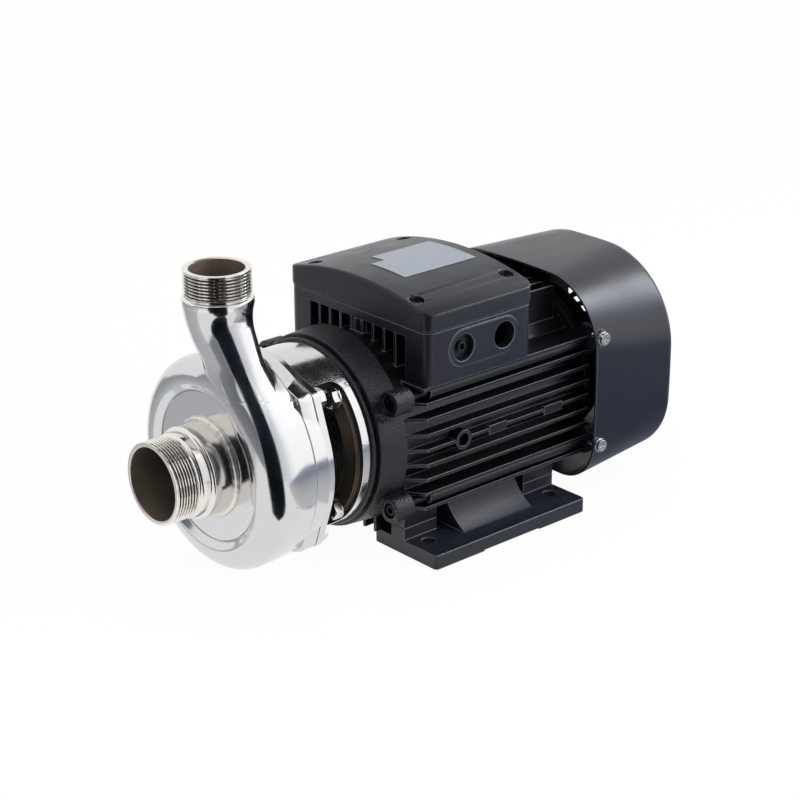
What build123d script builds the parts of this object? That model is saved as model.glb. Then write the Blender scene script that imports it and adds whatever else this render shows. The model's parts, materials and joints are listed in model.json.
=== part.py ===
from build123d import *
import os
from math import cos, radians, sin, sqrt

# Close-coupled centrifugal pump with a foot-mounted finned motor, in millimetres.
# X runs along the shaft from the suction nipple to the fan, Z is up. The origin is the centre of the
# foot bolt pattern on the mounting plane. Heights inside the functions are taken from the shaft line,
# and every piece is lifted by the shaft height when it is written.

# Motor feet (frame size 90L)
shaft_height = 90.0
foot_hole_spacing_x = 125.0
foot_hole_spacing_y = 140.0
foot_hole_diameter = 10.0
foot_length = 153.0
foot_outer_y = 94.0
foot_inner_y = 26.0
foot_plate_thickness = 11.5
foot_corner_radius = 3.0
foot_relief_length = 56.0
foot_relief_depth = 1.0
foot_block_length = 32.0
foot_block_height = 9.5
foot_block_outer_y = 59.0
foot_block_inner_y = 44.5
foot_web_length = 69.0
foot_web_outer_y = 80.5
foot_web_height = 20.0
foot_web_hollow = 0.42
foot_screw_x = 60.0
foot_screw_diameter = 8.0
foot_screw_bite = 14.0
foot_screw_head_diameter = 13.0
foot_screw_head_height = 8.0
foot_screw_key_radius = 6.0
foot_screw_head_recess = 9.0

# Motor frame
frame_front_x = -85.5
frame_length = 181.5
frame_bore_radius = 63.0
frame_wall = 4.0
fin_thickness = 2.6
side_fin_pitch = 11.7
side_fin_lowest_z = -51.15
side_fin_count = 8
side_fin_reach = 76.2
side_fin_bulge_radius = 370.0
side_fin_front_x = -68.0
side_fin_chamfer = 16.0
upright_fin_pitch = 12.0
top_fin_count = 8
top_fin_height = 77.0
top_fin_front_x = -70.0
bottom_fin_count = 7
bottom_fin_height = 76.3
bottom_fin_front_x = -85.0
fin_rear_gap = 7.0
ledge_z = 43.7
ledge_thickness = 2.5
ledge_reach = 75.7
ledge_root_y = 48.2
foot_block_root_z = -30.2
lead_hole_x = -60.0
lead_hole_radius = 7.5
lead_boss_radius = 10.0
box_screw_boss_radius = 5.5
box_screw_boss_root_z = 53.6
earth_boss_x = -34.5
earth_boss_radius = 7.5
earth_boss_reach = 77.7
earth_recess_radius = 4.8
earth_recess_depth = 8.0
earth_screw_diameter = 5.0
earth_screw_head_diameter = 8.5
earth_screw_head_height = 3.5
earth_screw_bite = 5.0
earth_socket_diameter = 4.0
fin_pad_height = 7.0
fin_pad_stand = 1.0
fin_pad_spans = ((-9.0, 9.0), (47.5, 66.5))

# Terminal box
box_front_x = -70.0
box_length = 104.0
box_half_width = 77.7
box_joint_z = 84.4
box_wall = 3.5
box_floor_z = top_fin_height
box_saddle_half_width = 53.0
box_corner_radius = 9.0
gasket_thickness = 1.2
lid_overhang = 0.8
lid_side_height = 12.4
lid_crown = 12.0
lid_wall = 3.0
lid_edge_radius = 1.6
lid_screw_inset_x = 8.5
lid_screw_y = 56.5
lid_screw_diameter = 5.0
lid_screw_head_diameter = 9.0
lid_screw_head_height = 3.2
lid_screw_recess_radius = 5.6
lid_screw_recess_floor = 13.0
lid_screw_bite = 10.0
lid_post_radius = 5.5
cross_reach = 2.8
cross_half = 0.55
cross_depth = 1.5
entry_diameter = 20.0
entry_z = 67.3
entry_plug_x = -36.0
entry_free_x = 4.0
entry_pad_radius = 14.0
entry_pad_stand = 0.6
entry_boss_wall = 3.0
entry_boss_depth = 8.0
plug_depth = 3.0
plug_sink = 4.5
plug_stem_radius = 4.0
plug_stem_length = 3.0
plug_socket_diameter = 4.5
board_length = 60.0
board_width = 36.0
board_thickness = 6.0
stud_pitch_x = 19.0
stud_pitch_y = 20.0
stud_diameter = 5.0
stud_stand = 14.0
stud_nut_across_flats = 8.0
stud_nut_height = 4.0
link_width = 9.0
link_thickness = 1.2
box_screw_spacing_x = 54.0
box_screw_spacing_y = 48.0
box_screw_diameter = 5.0
box_screw_bite = 12.0
box_screw_head_diameter = 9.0
box_screw_head_height = 3.0
lead_radius = 1.2
lead_count = 3
lead_pitch = 3.5
lead_turn_radius = 2.5
label_front_x = -46.0
label_length = 70.0
label_width = 52.0
label_thickness = 0.35
label_lift = 0.1
label_notch_length = 13.0
label_notch_width = 15.0

# End shields, bearings and rotor
shield_radius = 74.0
shield_length = 28.9
shield_front_radius = 70.0
shield_front_ring_length = 3.0
shield_groove_length = 2.0
shield_groove_depth = 2.5
shield_shoulder_radius = 72.5
shield_wall = 8.0
shield_front_wall = 8.0
shield_spigot_length = 6.0
spigot_wall = 6.0
shield_ring_thickness = 6.0
lantern_spigot_radius = 50.0
lantern_spigot_length = 3.0
spigot_clearance = 0.05
ear_radius = 9.5
ear_front_x = -100.0
ear_length = 17.0
ear_socket_depth = 6.0
scallop_radius = 7.5
scallop_length = 8.0
tie_rod_diameter = 5.0
tie_rod_head_diameter = 8.5
tie_rod_head_height = 5.0
tie_rod_key_radius = 4.25
tie_rod_y = 69.5
tie_rod_upper_z = 38.0
tie_rod_lower_z = -43.5
tie_rod_nut_across_flats = 8.0
tie_rod_nut_height = 4.0
tie_rod_thread_stand = 2.0
tie_rod_hole_clearance = 0.25
tie_rod_socket_diameter = 11.0
rod_rib_radius = 5.0
rod_rib_front_x = -64.0
rear_shield_radius = 72.5
rear_shield_wall = 6.0
rear_ear_radius = 11.0
rear_ear_length = 10.0
bearing_bore = 25.0
bearing_outside = 52.0
bearing_width = 15.0
bearing_ball_diameter = 7.94
bearing_ball_count = 9
bearing_groove_clearance = 0.08
bearing_cage_clearance = 0.15
front_bearing_gap = 1.5
rear_bearing_inset = 3.0
wave_washer_thickness = 1.2
hub_wall = 6.0
hub_cap_wall = 4.0
shield_boss_radius = 9.0
shield_boss_length = 16.0
shaft_hole_clearance = 1.0
winding_front_room = 8.5
winding_rear_room = 15.0
stator_bore_radius = 42.0
air_gap = 0.5
rotor_shaft_radius = 16.0
rotor_ring_length = 12.0
rotor_ring_radial = 14.0
winding_overhang = 24.0
winding_inner_radius = 45.0
winding_frame_clearance = 4.0
winding_edge_radius = 4.0

# Shaft and fan
shaft_front_radius = 12.0
shaft_pump_radius = 10.0
shaft_thread_radius = 6.0
shaft_fan_radius = 11.0
shaft_rear_reach = 6.0
fan_gap = 12.0
fan_width = 24.0
fan_radius = 69.0
fan_disc_thickness = 3.0
fan_disc_radius = 60.0
fan_hub_radius = 18.0
fan_blade_thickness = 2.5
fan_blade_count = 8
circlip_thickness = 1.2
circlip_radial = 3.0
circlip_groove_depth = 0.7

# Fan cover
fan_cover_overlap = 6.0
fan_cover_length = 90.0
fan_cover_half_width = 90.0
fan_cover_top_z = 86.5
fan_cover_bottom_z = -75.5
fan_cover_wall = 2.0
fan_cover_side_bulge = 3.0
fan_cover_top_bulge = 4.0
fan_cover_top_corner_radius = 54.0
fan_cover_bottom_corner_radius = 34.0
fan_cover_rear_half_width = 88.5
fan_cover_rear_top_z = 88.5
fan_cover_rear_bottom_z = -77.0
fan_cover_rear_top_corner_radius = 74.0
fan_cover_rear_bottom_corner_radius = 54.0
fan_cover_rear_edge_radius = 9.0
grille_rings = 6
grille_inner_radius = 14.0
grille_slot_width = 4.5
grille_pitch = 9.0
grille_spokes = 4
grille_spoke_width = 6.0
cover_screw_setback = 0.3
cover_screw_pad_radius = 6.2
cover_screw_pad_sink = 1.2
cover_screw_upper_z = 44.5
cover_screw_lower_z = -42.0
cover_screw_diameter = 5.0
cover_screw_bite = 8.0
cover_screw_head_diameter = 9.5
cover_screw_head_height = 2.6
cover_washer_diameter = 10.8
cover_washer_thickness = 0.8
cover_lug_size = 12.0
cover_lug_clearance = 0.1

# Lantern
lantern_length = 44.0
lantern_radius = 67.8
lantern_wall = 4.0
lantern_flange_thickness = 6.2
lantern_rear_ring = 7.5
lantern_rear_wall = 10.9
window_half_angle = 53.5
window_corner_radius = 7.0
lantern_bolt_circle = 120.0
bolt_diameter = 8.0
bolt_across_flats = 13.0
bolt_head_height = 5.3
washer_thickness = 1.6
washer_diameter = 15.0
bolt_hole_clearance = 0.5
lantern_bolt_bite = 12.0
spot_face_clearance = 0.6
spot_face_length = 10.0

# Pump casing
flange_thickness = 12.4
flange_radius = 73.5
lug_radius = 9.5
lug_spine_radius = 7.5
lug_spine_length = 12.0
casing_bolt_bite = 14.0
casing_spigot_radius = 62.5
casing_bolt_land = 8.5
casing_wall = 3.0
casing_root_radius = 75.0
volute_radius = 78.5
volute_edge_radius = 16.0
volute_rim_back = 52.3
volute_centre_back = 34.3
volute_land = 5.0
eye_rim_back = 51.9
eye_rim_radius = 60.0
eye_floor_back = 48.3
eye_floor_radius = 55.3
neck_radius = 25.2
neck_foot_radius = 17.0
neck_upper_turn_radius = 42.0
neck_lower_turn_radius = 75.0
neck_upper_turn_z = 103.0
neck_lower_turn_z = 17.0
neck_foot_z = -10.0
neck_foot_inset = 0.4

# Nipples
pipe_thread_pitch = 2.309
pipe_thread_depth = 1.479
pipe_thread_turns = 8
suction_face_x = -254.0
suction_thread_radius = 29.8
suction_bore_radius = 26.3
suction_pipe_radius = 31.0
suction_pipe_length = 27.0
suction_boss_radius = 33.5
weld_bead_radius = 2.2
discharge_top_z = 143.0
discharge_thread_radius = 23.9
discharge_bore_radius = 19.4
discharge_collar_radius = 25.2
discharge_collar_z = 118.2

# Casing cover and shaft seal
cover_spigot_depth = 5.0
cover_seat_depth = 3.0
cover_plate_clearance = 0.1
o_ring_radius = 1.75
o_ring_squeeze = 0.25
seal_chamber_radius = 24.0
seal_chamber_wall = 4.0
seal_chamber_length = 18.0
seal_hole_clearance = 2.0
seat_length = 6.0
seat_outer_radius = 16.0
seat_cup_wall = 2.0
seal_face_gap = 0.2
seal_ring_length = 7.0
seal_ring_radius = 15.5
seal_spring_wire = 1.2
seal_spring_radius = 14.0
seal_spring_turns = 4
seal_collar_length = 4.0
seal_collar_radius = 15.5

# Impeller
impeller_radius = 56.0
impeller_front_gap = 2.0
impeller_back_gap = 4.0
impeller_disc_thickness = 4.0
impeller_vane_count = 5
impeller_vane_thickness = 3.5
impeller_vane_inner_radius = 20.0
impeller_hub_radius = 16.0
impeller_hub_length = 21.0
impeller_vane_sweep = 62.0
impeller_vane_curve = 0.36
impeller_nut_height = 9.0
impeller_nut_across_flats = 19.0
impeller_nut_dome_length = 4.0
impeller_nut_dome_step = 1.0
key_width = 6.0
key_height = 6.0
key_length = 14.0
key_sink = 3.5
slinger_gap = 4.0
slinger_radius = 19.0
slinger_thickness = 3.5

# Stations along the shaft, worked out from the values above
frame_rear_x = frame_front_x + frame_length
fan_cover_front_x = frame_rear_x - fan_cover_overlap
cover_screw_x = frame_rear_x + cover_screw_setback
winding_outer_radius = frame_bore_radius - winding_frame_clearance
stator_front_x = frame_front_x + winding_front_room + winding_overhang
stator_rear_x = frame_rear_x - winding_rear_room - winding_overhang
frame_root_radius = frame_bore_radius + frame_wall
shield_front_x = frame_front_x - shield_length
joint_x = shield_front_x - lantern_length
lantern_flange_rear_x = joint_x + lantern_flange_thickness
volute_x = joint_x - volute_centre_back
volute_rim_x = joint_x - volute_rim_back
eye_rim_x = joint_x - eye_rim_back
eye_floor_x = joint_x - eye_floor_back
neck_foot_y = neck_foot_radius - volute_radius
flange_front_x = joint_x - flange_thickness
foot_plate_top_z = foot_plate_thickness - shaft_height
foot_block_top_z = foot_plate_top_z + foot_block_height
foot_screw_y = (foot_block_inner_y + foot_block_outer_y) / 2
spigot_radius = frame_bore_radius - spigot_clearance
bearing_bore_radius = bearing_bore / 2
bearing_outer_radius = bearing_outside / 2
bearing_pitch_radius = (bearing_bore_radius + bearing_outer_radius) / 2
front_bearing_x = shield_front_x + shield_front_wall + front_bearing_gap
rear_bearing_x = frame_rear_x - rear_bearing_inset
rear_shield_back_x = rear_bearing_x + bearing_width + wave_washer_thickness
rear_cap_back_x = rear_shield_back_x + hub_cap_wall
lantern_bolt_radius = lantern_bolt_circle / 2
box_centre_x = box_front_x + box_length / 2
lid_base_z = box_joint_z + gasket_thickness
lid_edge_z = lid_base_z + lid_side_height
lid_half_width = box_half_width + lid_overhang
lid_arc_radius = (lid_half_width**2 + lid_crown**2) / (2 * lid_crown)
lid_arc_centre_z = lid_edge_z + lid_crown - lid_arc_radius
box_inner_floor_z = box_floor_z + box_wall
casing_cover_front_x = joint_x - cover_spigot_depth
casing_cover_back_x = joint_x + cover_seat_depth
casing_cover_radius = casing_spigot_radius - cover_plate_clearance
lug_circle_radius = casing_spigot_radius + casing_bolt_land
impeller_back_x = casing_cover_front_x - impeller_back_gap
impeller_disc_front_x = impeller_back_x - impeller_disc_thickness
impeller_vane_front_x = eye_floor_x + casing_wall + impeller_front_gap
seal_wall_x = casing_cover_back_x + seal_chamber_length
seat_front_x = seal_wall_x - seat_length
seal_ring_front_x = seat_front_x - seal_face_gap - seal_ring_length
seal_spring_front_x = impeller_back_x + seal_collar_length
seal_chamber_back_x = seal_wall_x + seal_chamber_wall
shaft_step_x = seal_chamber_back_x + 1.0
slinger_front_x = seal_chamber_back_x + slinger_gap
impeller_hub_front_x = impeller_back_x - impeller_hub_length
fan_front_x = rear_cap_back_x + fan_gap
fan_back_x = fan_front_x + fan_width
shaft_rear_x = fan_back_x + shaft_rear_reach
tie_rods_at = [(side * tie_rod_y, z) for side in (-1, 1) for z in (tie_rod_upper_z, tie_rod_lower_z)]


def rod_x(radius, start, end, y=0.0, z=0.0):
    """A round bar along X."""
    return Pos(start, y, z) * Rot(0, 90, 0) * Cylinder(
        radius, end - start, align=(Align.CENTER, Align.CENTER, Align.MIN)
    )


def rod_y(radius, start, end, x=0.0, z=0.0):
    """A round bar along Y."""
    return Pos(x, start, z) * Rot(-90, 0, 0) * Cylinder(
        radius, end - start, align=(Align.CENTER, Align.CENTER, Align.MIN)
    )


def rod_z(radius, start, end, x=0.0, y=0.0):
    """A round bar along Z."""
    return Pos(x, y, start) * Cylinder(radius, end - start, align=(Align.CENTER, Align.CENTER, Align.MIN))


def tube_x(outer, inner, start, end, y=0.0, z=0.0):
    """A ring or sleeve along X."""
    return rod_x(outer, start, end, y, z) - rod_x(inner, start, end, y, z)


def block(x, y, z):
    """A rectangular block between two corners, given as three spans."""
    size = [high - low for low, high in (x, y, z)]
    return Pos(x[0], y[0], z[0]) * Box(*size, align=(Align.MIN, Align.MIN, Align.MIN))


def turned(points):
    """A solid turned about the shaft line from its (x, radius) corners."""
    return revolve(Plane.XZ * make_face(Polyline(*points, close=True)), Axis.X)


def turned_outline(curves):
    """A solid turned about the shaft line from joined curves in the (x, radius) plane."""
    return revolve(Plane.XZ * make_face(curves), Axis.X)


def across_x(face, start, end):
    """A face drawn in (y, z), carried along X."""
    return Pos(start, 0, 0) * extrude(Plane.YZ * face, end - start)


def across_y(face, start, end):
    """A face drawn in (x, z), carried along Y."""
    return Pos(0, end, 0) * extrude(Plane.XZ * face, end - start)


def hexagon_x(across_flats, start, end, y=0.0, z=0.0):
    """A hexagonal prism along X."""
    face = Pos(y, z) * RegularPolygon(across_flats / 2, 6, major_radius=False)
    return across_x(face, start, end)


def hexagon_z(across_flats, start, end, x=0.0, y=0.0):
    """A hexagonal prism along Z."""
    face = Pos(x, y, start) * RegularPolygon(across_flats / 2, 6, major_radius=False)
    return extrude(face, end - start)


def corners(spacing_x, spacing_y):
    """The four corners of a rectangle centred on the origin."""
    return [(sx * spacing_x / 2, sy * spacing_y / 2) for sx in (-1, 1) for sy in (-1, 1)]


def on_diagonals(radius):
    """Four places at 45 degrees on a circle about the shaft line, as (y, z)."""
    reach = radius / sqrt(2)
    return [(sy * reach, sz * reach) for sy in (-1, 1) for sz in (-1, 1)]


def joined(pieces):
    """The union of a list of solids that touch."""
    whole = pieces[0]
    for piece in pieces[1:]:
        whole += piece
    return whole


def lugged_face(disc_radius, corner_radius):
    """A round flange outline drawn out by straight tangents to four lugs on the diagonals."""
    circles = Circle(disc_radius).edges()
    for y, z in on_diagonals(lug_circle_radius):
        circles += (Pos(y, z) * Circle(corner_radius)).edges()
    return make_hull(circles)


def threaded_profile(face_x, crest, count):
    """The (x, radius) corners of pipe thread crests and roots, from the end face inwards."""
    root = crest - pipe_thread_depth
    points = [(face_x, root)]
    for turn in range(count):
        start = face_x + turn * pipe_thread_pitch
        points.append((start + 0.4 * pipe_thread_pitch, crest))
        points.append((start + 0.6 * pipe_thread_pitch, crest))
        points.append((start + pipe_thread_pitch, root))
    return points


def suction_nipple():
    """Two inch pipe nipple: thread, plain pipe and the boss that stands on the casing."""
    thread_end = suction_face_x + pipe_thread_turns * pipe_thread_pitch
    pipe_end = suction_face_x + suction_pipe_length
    points = [(suction_face_x, suction_bore_radius)]
    points += threaded_profile(suction_face_x, suction_thread_radius, pipe_thread_turns)
    points += [(thread_end, suction_pipe_radius), (pipe_end, suction_pipe_radius)]
    points += [(pipe_end + 1.5, suction_boss_radius), (eye_floor_x, suction_boss_radius)]
    points += [(eye_floor_x, suction_bore_radius)]
    return turned(points)


def suction_weld():
    """The weld bead round the foot of the suction boss."""
    ring = turned_outline(Pos(eye_floor_x, suction_boss_radius) * Circle(weld_bead_radius).edge())
    inside = rod_x(suction_boss_radius, eye_floor_x - 9, eye_floor_x)
    behind = rod_x(eye_floor_radius, eye_floor_x, joint_x)
    return ring - inside - behind


def discharge_nipple():
    """One and a half inch pipe nipple that stands on the casing neck, about its own upright axis."""
    length = discharge_top_z - discharge_collar_z
    thread_length = pipe_thread_turns * pipe_thread_pitch
    points = [(0, discharge_bore_radius)]
    points += threaded_profile(0, discharge_thread_radius, pipe_thread_turns)
    points += [(thread_length, discharge_collar_radius), (length, discharge_collar_radius)]
    points += [(length, discharge_bore_radius)]
    upright = Pos(volute_x, 0, discharge_top_z) * Rot(0, 90, 0)
    return upright * turned(points)


def neck_path():
    """The line of the discharge neck: down, across to the near side, and into the volute ring."""
    return FilletPolyline(
        (volute_x, 0, discharge_collar_z),
        (volute_x, 0, neck_upper_turn_z),
        (volute_x, neck_foot_y, neck_lower_turn_z),
        (volute_x, neck_foot_y, neck_foot_z),
        radius=[neck_upper_turn_radius, neck_lower_turn_radius],
    )


def neck_tube(top_radius, foot_radius):
    """A tube along the neck that narrows from the nipple to half way down and then keeps its size."""
    path = neck_path()
    sections = [
        Plane(path @ place, z_dir=path % place) * Circle(radius)
        for place, radius in ((0, top_radius), (0.5, foot_radius), (1, foot_radius))
    ]
    return sweep(sections, path=path, multisection=True)


def casing_front(inset):
    """The front of the casing in (x, radius), drawn in by an inset: rounded crest, rim and eye floor."""
    crest = volute_radius - inset
    rim_x = volute_rim_x + inset
    edge = volute_edge_radius - inset
    slant = edge / sqrt(2)
    middle = (rim_x + edge - slant, crest - edge + slant)
    floor_x = eye_floor_x + inset
    ledge = (eye_rim_x + inset, eye_rim_radius)
    return [
        ThreePointArc((rim_x + edge, crest), middle, (rim_x, crest - edge)),
        Line((rim_x, crest - edge), ledge),
        Line(ledge, (floor_x, eye_floor_radius)),
        Line((floor_x, eye_floor_radius), (floor_x, 0)),
    ]


def casing_body():
    """The outside of the casing: the front, a land over the crest and a slow taper to the joint."""
    land_x = volute_x + volute_land
    outline = [
        Line((eye_floor_x, 0), (joint_x, 0)),
        Line((joint_x, 0), (joint_x, casing_root_radius)),
        Line((joint_x, casing_root_radius), (land_x, volute_radius)),
        Line((land_x, volute_radius), (volute_rim_x + volute_edge_radius, volute_radius)),
    ]
    return turned_outline(Curve() + (outline + casing_front(0.0)))


def casing_cavity():
    """The water space: one wall inside the body, closing in to the spigot bore at the joint."""
    crest = volute_radius - casing_wall
    rise = crest - casing_spigot_radius
    slant = rise / sqrt(2)
    throat_x = volute_x + rise
    middle = (volute_x + slant, crest - rise + slant)
    outline = [
        Line((eye_floor_x + casing_wall, 0), (joint_x, 0)),
        Line((joint_x, 0), (joint_x, casing_spigot_radius)),
        Line((joint_x, casing_spigot_radius), (throat_x, casing_spigot_radius)),
        ThreePointArc((throat_x, casing_spigot_radius), middle, (volute_x, crest)),
        Line((volute_x, crest), (volute_rim_x + volute_edge_radius, crest)),
    ]
    return turned_outline(Curve() + (outline + casing_front(casing_wall)))


def volute_casing():
    """Polished casing: volute body, eye floor, swept neck, flange and the spines of its four lugs."""
    body = casing_body() + neck_tube(neck_radius, neck_foot_radius - neck_foot_inset)
    body += across_x(lugged_face(flange_radius, lug_radius), flange_front_x, joint_x)
    spine_face = lugged_face(flange_radius - 3, lug_spine_radius)
    body += across_x(spine_face, flange_front_x - lug_spine_length, joint_x)
    body -= casing_cavity()
    body -= neck_tube(discharge_bore_radius, neck_foot_radius - casing_wall - neck_foot_inset)
    body -= rod_x(suction_bore_radius, eye_floor_x, volute_x)
    for y, z in on_diagonals(lug_circle_radius):
        body -= rod_x(bolt_diameter / 2, joint_x - casing_bolt_bite, joint_x, y, z)
    return body


def casing_o_ring():
    """The rubber ring between casing and cover, flattened where it meets the bore."""
    centre_radius = casing_spigot_radius - o_ring_radius + o_ring_squeeze
    centre = Pos(joint_x - cover_spigot_depth / 2, centre_radius)
    ring = turned_outline(centre * Circle(o_ring_radius).edge())
    return ring & rod_x(casing_spigot_radius, casing_cover_front_x, joint_x)


def casing_cover():
    """The disc that closes the casing, with the seal chamber on its back."""
    chamber_outer = seal_chamber_radius + seal_chamber_wall
    groove_floor = casing_spigot_radius - 2 * o_ring_radius + o_ring_squeeze
    groove_front_x = joint_x - cover_spigot_depth / 2 - o_ring_radius
    body = turned([
        (casing_cover_front_x, seal_chamber_radius),
        (casing_cover_front_x, casing_cover_radius),
        (casing_cover_back_x, casing_cover_radius),
        (casing_cover_back_x, chamber_outer),
        (seal_chamber_back_x, chamber_outer),
        (seal_chamber_back_x, shaft_pump_radius + seal_hole_clearance),
        (seal_wall_x, shaft_pump_radius + seal_hole_clearance),
        (seal_wall_x, seal_chamber_radius),
    ])
    groove_back_x = groove_front_x + 2 * o_ring_radius
    return body - tube_x(casing_cover_radius + 1, groove_floor, groove_front_x, groove_back_x)


def seal_seat_cup():
    """The rubber cup that holds the stationary seal face in the chamber wall."""
    outer = seat_outer_radius + seat_cup_wall
    cup = tube_x(outer, shaft_pump_radius + seal_hole_clearance, seat_front_x, seal_wall_x)
    return cup - rod_x(seat_outer_radius, seat_front_x, seal_wall_x - seat_cup_wall)


def seal_seat():
    """The stationary ceramic seal face."""
    back_x = seal_wall_x - seat_cup_wall
    return tube_x(seat_outer_radius, shaft_pump_radius + seal_hole_clearance, seat_front_x, back_x)


def seal_ring():
    """The turning carbon ring that runs against the seat."""
    end = seal_ring_front_x + seal_ring_length
    return tube_x(seal_ring_radius, shaft_pump_radius, seal_ring_front_x, end)


def seal_spring():
    """The coil spring between the drive collar and the carbon ring."""
    wire = seal_spring_wire / 2
    length = seal_ring_front_x - seal_spring_front_x - seal_spring_wire
    coil = Helix(length / seal_spring_turns, length, seal_spring_radius)
    section = Plane(coil @ 0, z_dir=coil % 0) * Circle(wire)
    spring = sweep(section, path=coil)
    return Pos(seal_spring_front_x + wire, 0, 0) * Rot(0, 90, 0) * spring


def seal_collar():
    """The collar that carries the spring round with the impeller."""
    return tube_x(seal_collar_radius, shaft_pump_radius, impeller_back_x, seal_spring_front_x)


def at_angle(radius, angle):
    """A point in the (y, z) plane."""
    return (radius * cos(radians(angle)), radius * sin(radians(angle)))


def impeller_key():
    """The key that drives the impeller, which is also the shape of its slot."""
    start = impeller_hub_front_x + (impeller_hub_length - key_length) / 2
    half = key_width / 2
    base = shaft_pump_radius - key_sink
    return block((start, start + key_length), (-half, half), (base, base + key_height))


def impeller():
    """Semi-open impeller: back disc, hub and backward curved vanes."""
    body = rod_x(impeller_radius, impeller_disc_front_x, impeller_back_x)
    body += rod_x(impeller_hub_radius, impeller_hub_front_x, impeller_disc_front_x)
    middle = (impeller_vane_inner_radius + impeller_radius) / 2
    inner = at_angle(impeller_vane_inner_radius, 0)
    halfway = at_angle(middle, impeller_vane_sweep * impeller_vane_curve)
    tip = at_angle(impeller_radius - impeller_vane_thickness / 2, impeller_vane_sweep)
    vane = trace(ThreePointArc(inner, halfway, tip), impeller_vane_thickness)
    for turn in range(impeller_vane_count):
        face = Rot(0, 0, turn * 360 / impeller_vane_count) * vane
        body += across_x(face, impeller_vane_front_x, impeller_disc_front_x)
    body -= rod_x(shaft_pump_radius, impeller_hub_front_x, impeller_back_x)
    return body - impeller_key()


def impeller_nut():
    """The domed nut that holds the impeller on the shaft."""
    start = impeller_hub_front_x - impeller_nut_height
    body = hexagon_x(impeller_nut_across_flats, start, impeller_hub_front_x)
    dome_radius = impeller_nut_across_flats / 2
    body += rod_x(dome_radius - impeller_nut_dome_step, start - impeller_nut_dome_length, start)
    body -= rod_x(shaft_thread_radius, start, impeller_hub_front_x)
    return body


def slinger():
    """The rubber disc on the shaft that throws off any leaking water."""
    return tube_x(slinger_radius, shaft_front_radius, slinger_front_x, slinger_front_x + slinger_thickness)


def rotor_shaft():
    """The stepped shaft from the impeller nut to the fan."""
    thread_x = impeller_hub_front_x - impeller_nut_height
    front_bearing_back_x = front_bearing_x + bearing_width
    circlip_x = fan_back_x
    groove_radius = shaft_fan_radius - circlip_groove_depth
    body = turned([
        (thread_x, 0),
        (thread_x, shaft_thread_radius),
        (impeller_hub_front_x, shaft_thread_radius),
        (impeller_hub_front_x, shaft_pump_radius),
        (shaft_step_x, shaft_pump_radius),
        (shaft_step_x, shaft_front_radius),
        (front_bearing_x, shaft_front_radius),
        (front_bearing_x, bearing_bore_radius),
        (front_bearing_back_x, bearing_bore_radius),
        (front_bearing_back_x, rotor_shaft_radius),
        (rear_bearing_x, rotor_shaft_radius),
        (rear_bearing_x, bearing_bore_radius),
        (rear_shield_back_x, bearing_bore_radius),
        (rear_shield_back_x, shaft_fan_radius),
        (circlip_x, shaft_fan_radius),
        (circlip_x, groove_radius),
        (circlip_x + circlip_thickness, groove_radius),
        (circlip_x + circlip_thickness, shaft_fan_radius),
        (shaft_rear_x, shaft_fan_radius),
        (shaft_rear_x, 0),
    ])
    return body - impeller_key()


def rotor_core():
    """The laminated rotor core on the shaft."""
    start, end = stator_front_x, stator_rear_x
    return tube_x(stator_bore_radius - air_gap, rotor_shaft_radius, start, end)


def rotor_end_rings():
    """The cast aluminium rings at both ends of the rotor core."""
    start, end = stator_front_x, stator_rear_x
    outer = stator_bore_radius - air_gap
    inner = outer - rotor_ring_radial
    front = tube_x(outer, inner, start - rotor_ring_length, start)
    rear = tube_x(outer, inner, end, end + rotor_ring_length)
    return Compound([front, rear])


def stator_core():
    """The laminated stator core pressed into the frame."""
    start, end = stator_front_x, stator_rear_x
    return tube_x(frame_bore_radius, stator_bore_radius, start, end)


def stator_windings():
    """The winding heads at both ends of the stator core."""
    start, end = stator_front_x, stator_rear_x
    front = tube_x(winding_outer_radius, winding_inner_radius, start - winding_overhang, start)
    front = fillet(front.edges().group_by(Axis.X)[0], winding_edge_radius)
    rear = tube_x(winding_outer_radius, winding_inner_radius, end, end + winding_overhang)
    rear = fillet(rear.edges().group_by(Axis.X)[-1], winding_edge_radius)
    return Compound([front, rear])


def ball_places(start):
    """The centres of the bearing balls of a bearing that starts at a given x."""
    middle = start + bearing_width / 2
    step = 360 / bearing_ball_count
    return [(middle, *at_angle(bearing_pitch_radius, turn * step)) for turn in range(bearing_ball_count)]


def groove(start):
    """The ball track shared by both bearing rings."""
    radius = bearing_ball_diameter / 2 + bearing_groove_clearance
    return turned_outline(Pos(start + bearing_width / 2, bearing_pitch_radius) * Circle(radius).edge())


def bearing_outer_ring(start):
    """Outer ring with its ball track."""
    inner = bearing_pitch_radius + 0.3 * bearing_ball_diameter
    return tube_x(bearing_outer_radius, inner, start, start + bearing_width) - groove(start)


def bearing_inner_ring(start):
    """Inner ring with its ball track."""
    outer = bearing_pitch_radius - 0.3 * bearing_ball_diameter
    return tube_x(outer, bearing_bore_radius, start, start + bearing_width) - groove(start)


def bearing_balls(start):
    """The set of balls."""
    return Compound([Pos(*place) * Sphere(bearing_ball_diameter / 2) for place in ball_places(start)])


def bearing_cage(start):
    """The cage that keeps the balls apart."""
    middle = start + bearing_width / 2
    half = 0.36 * bearing_width
    radial = 0.15 * bearing_ball_diameter
    outer = bearing_pitch_radius + radial
    cage = tube_x(outer, bearing_pitch_radius - radial, middle - half, middle + half)
    for place in ball_places(start):
        cage -= Pos(*place) * Sphere(bearing_ball_diameter / 2 + bearing_cage_clearance)
    return cage


def wave_washer():
    """The spring washer behind the rear bearing."""
    start = rear_bearing_x + bearing_width
    inner = bearing_pitch_radius + 0.35 * bearing_ball_diameter
    return tube_x(bearing_outer_radius - 0.3, inner, start, start + wave_washer_thickness)


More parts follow.
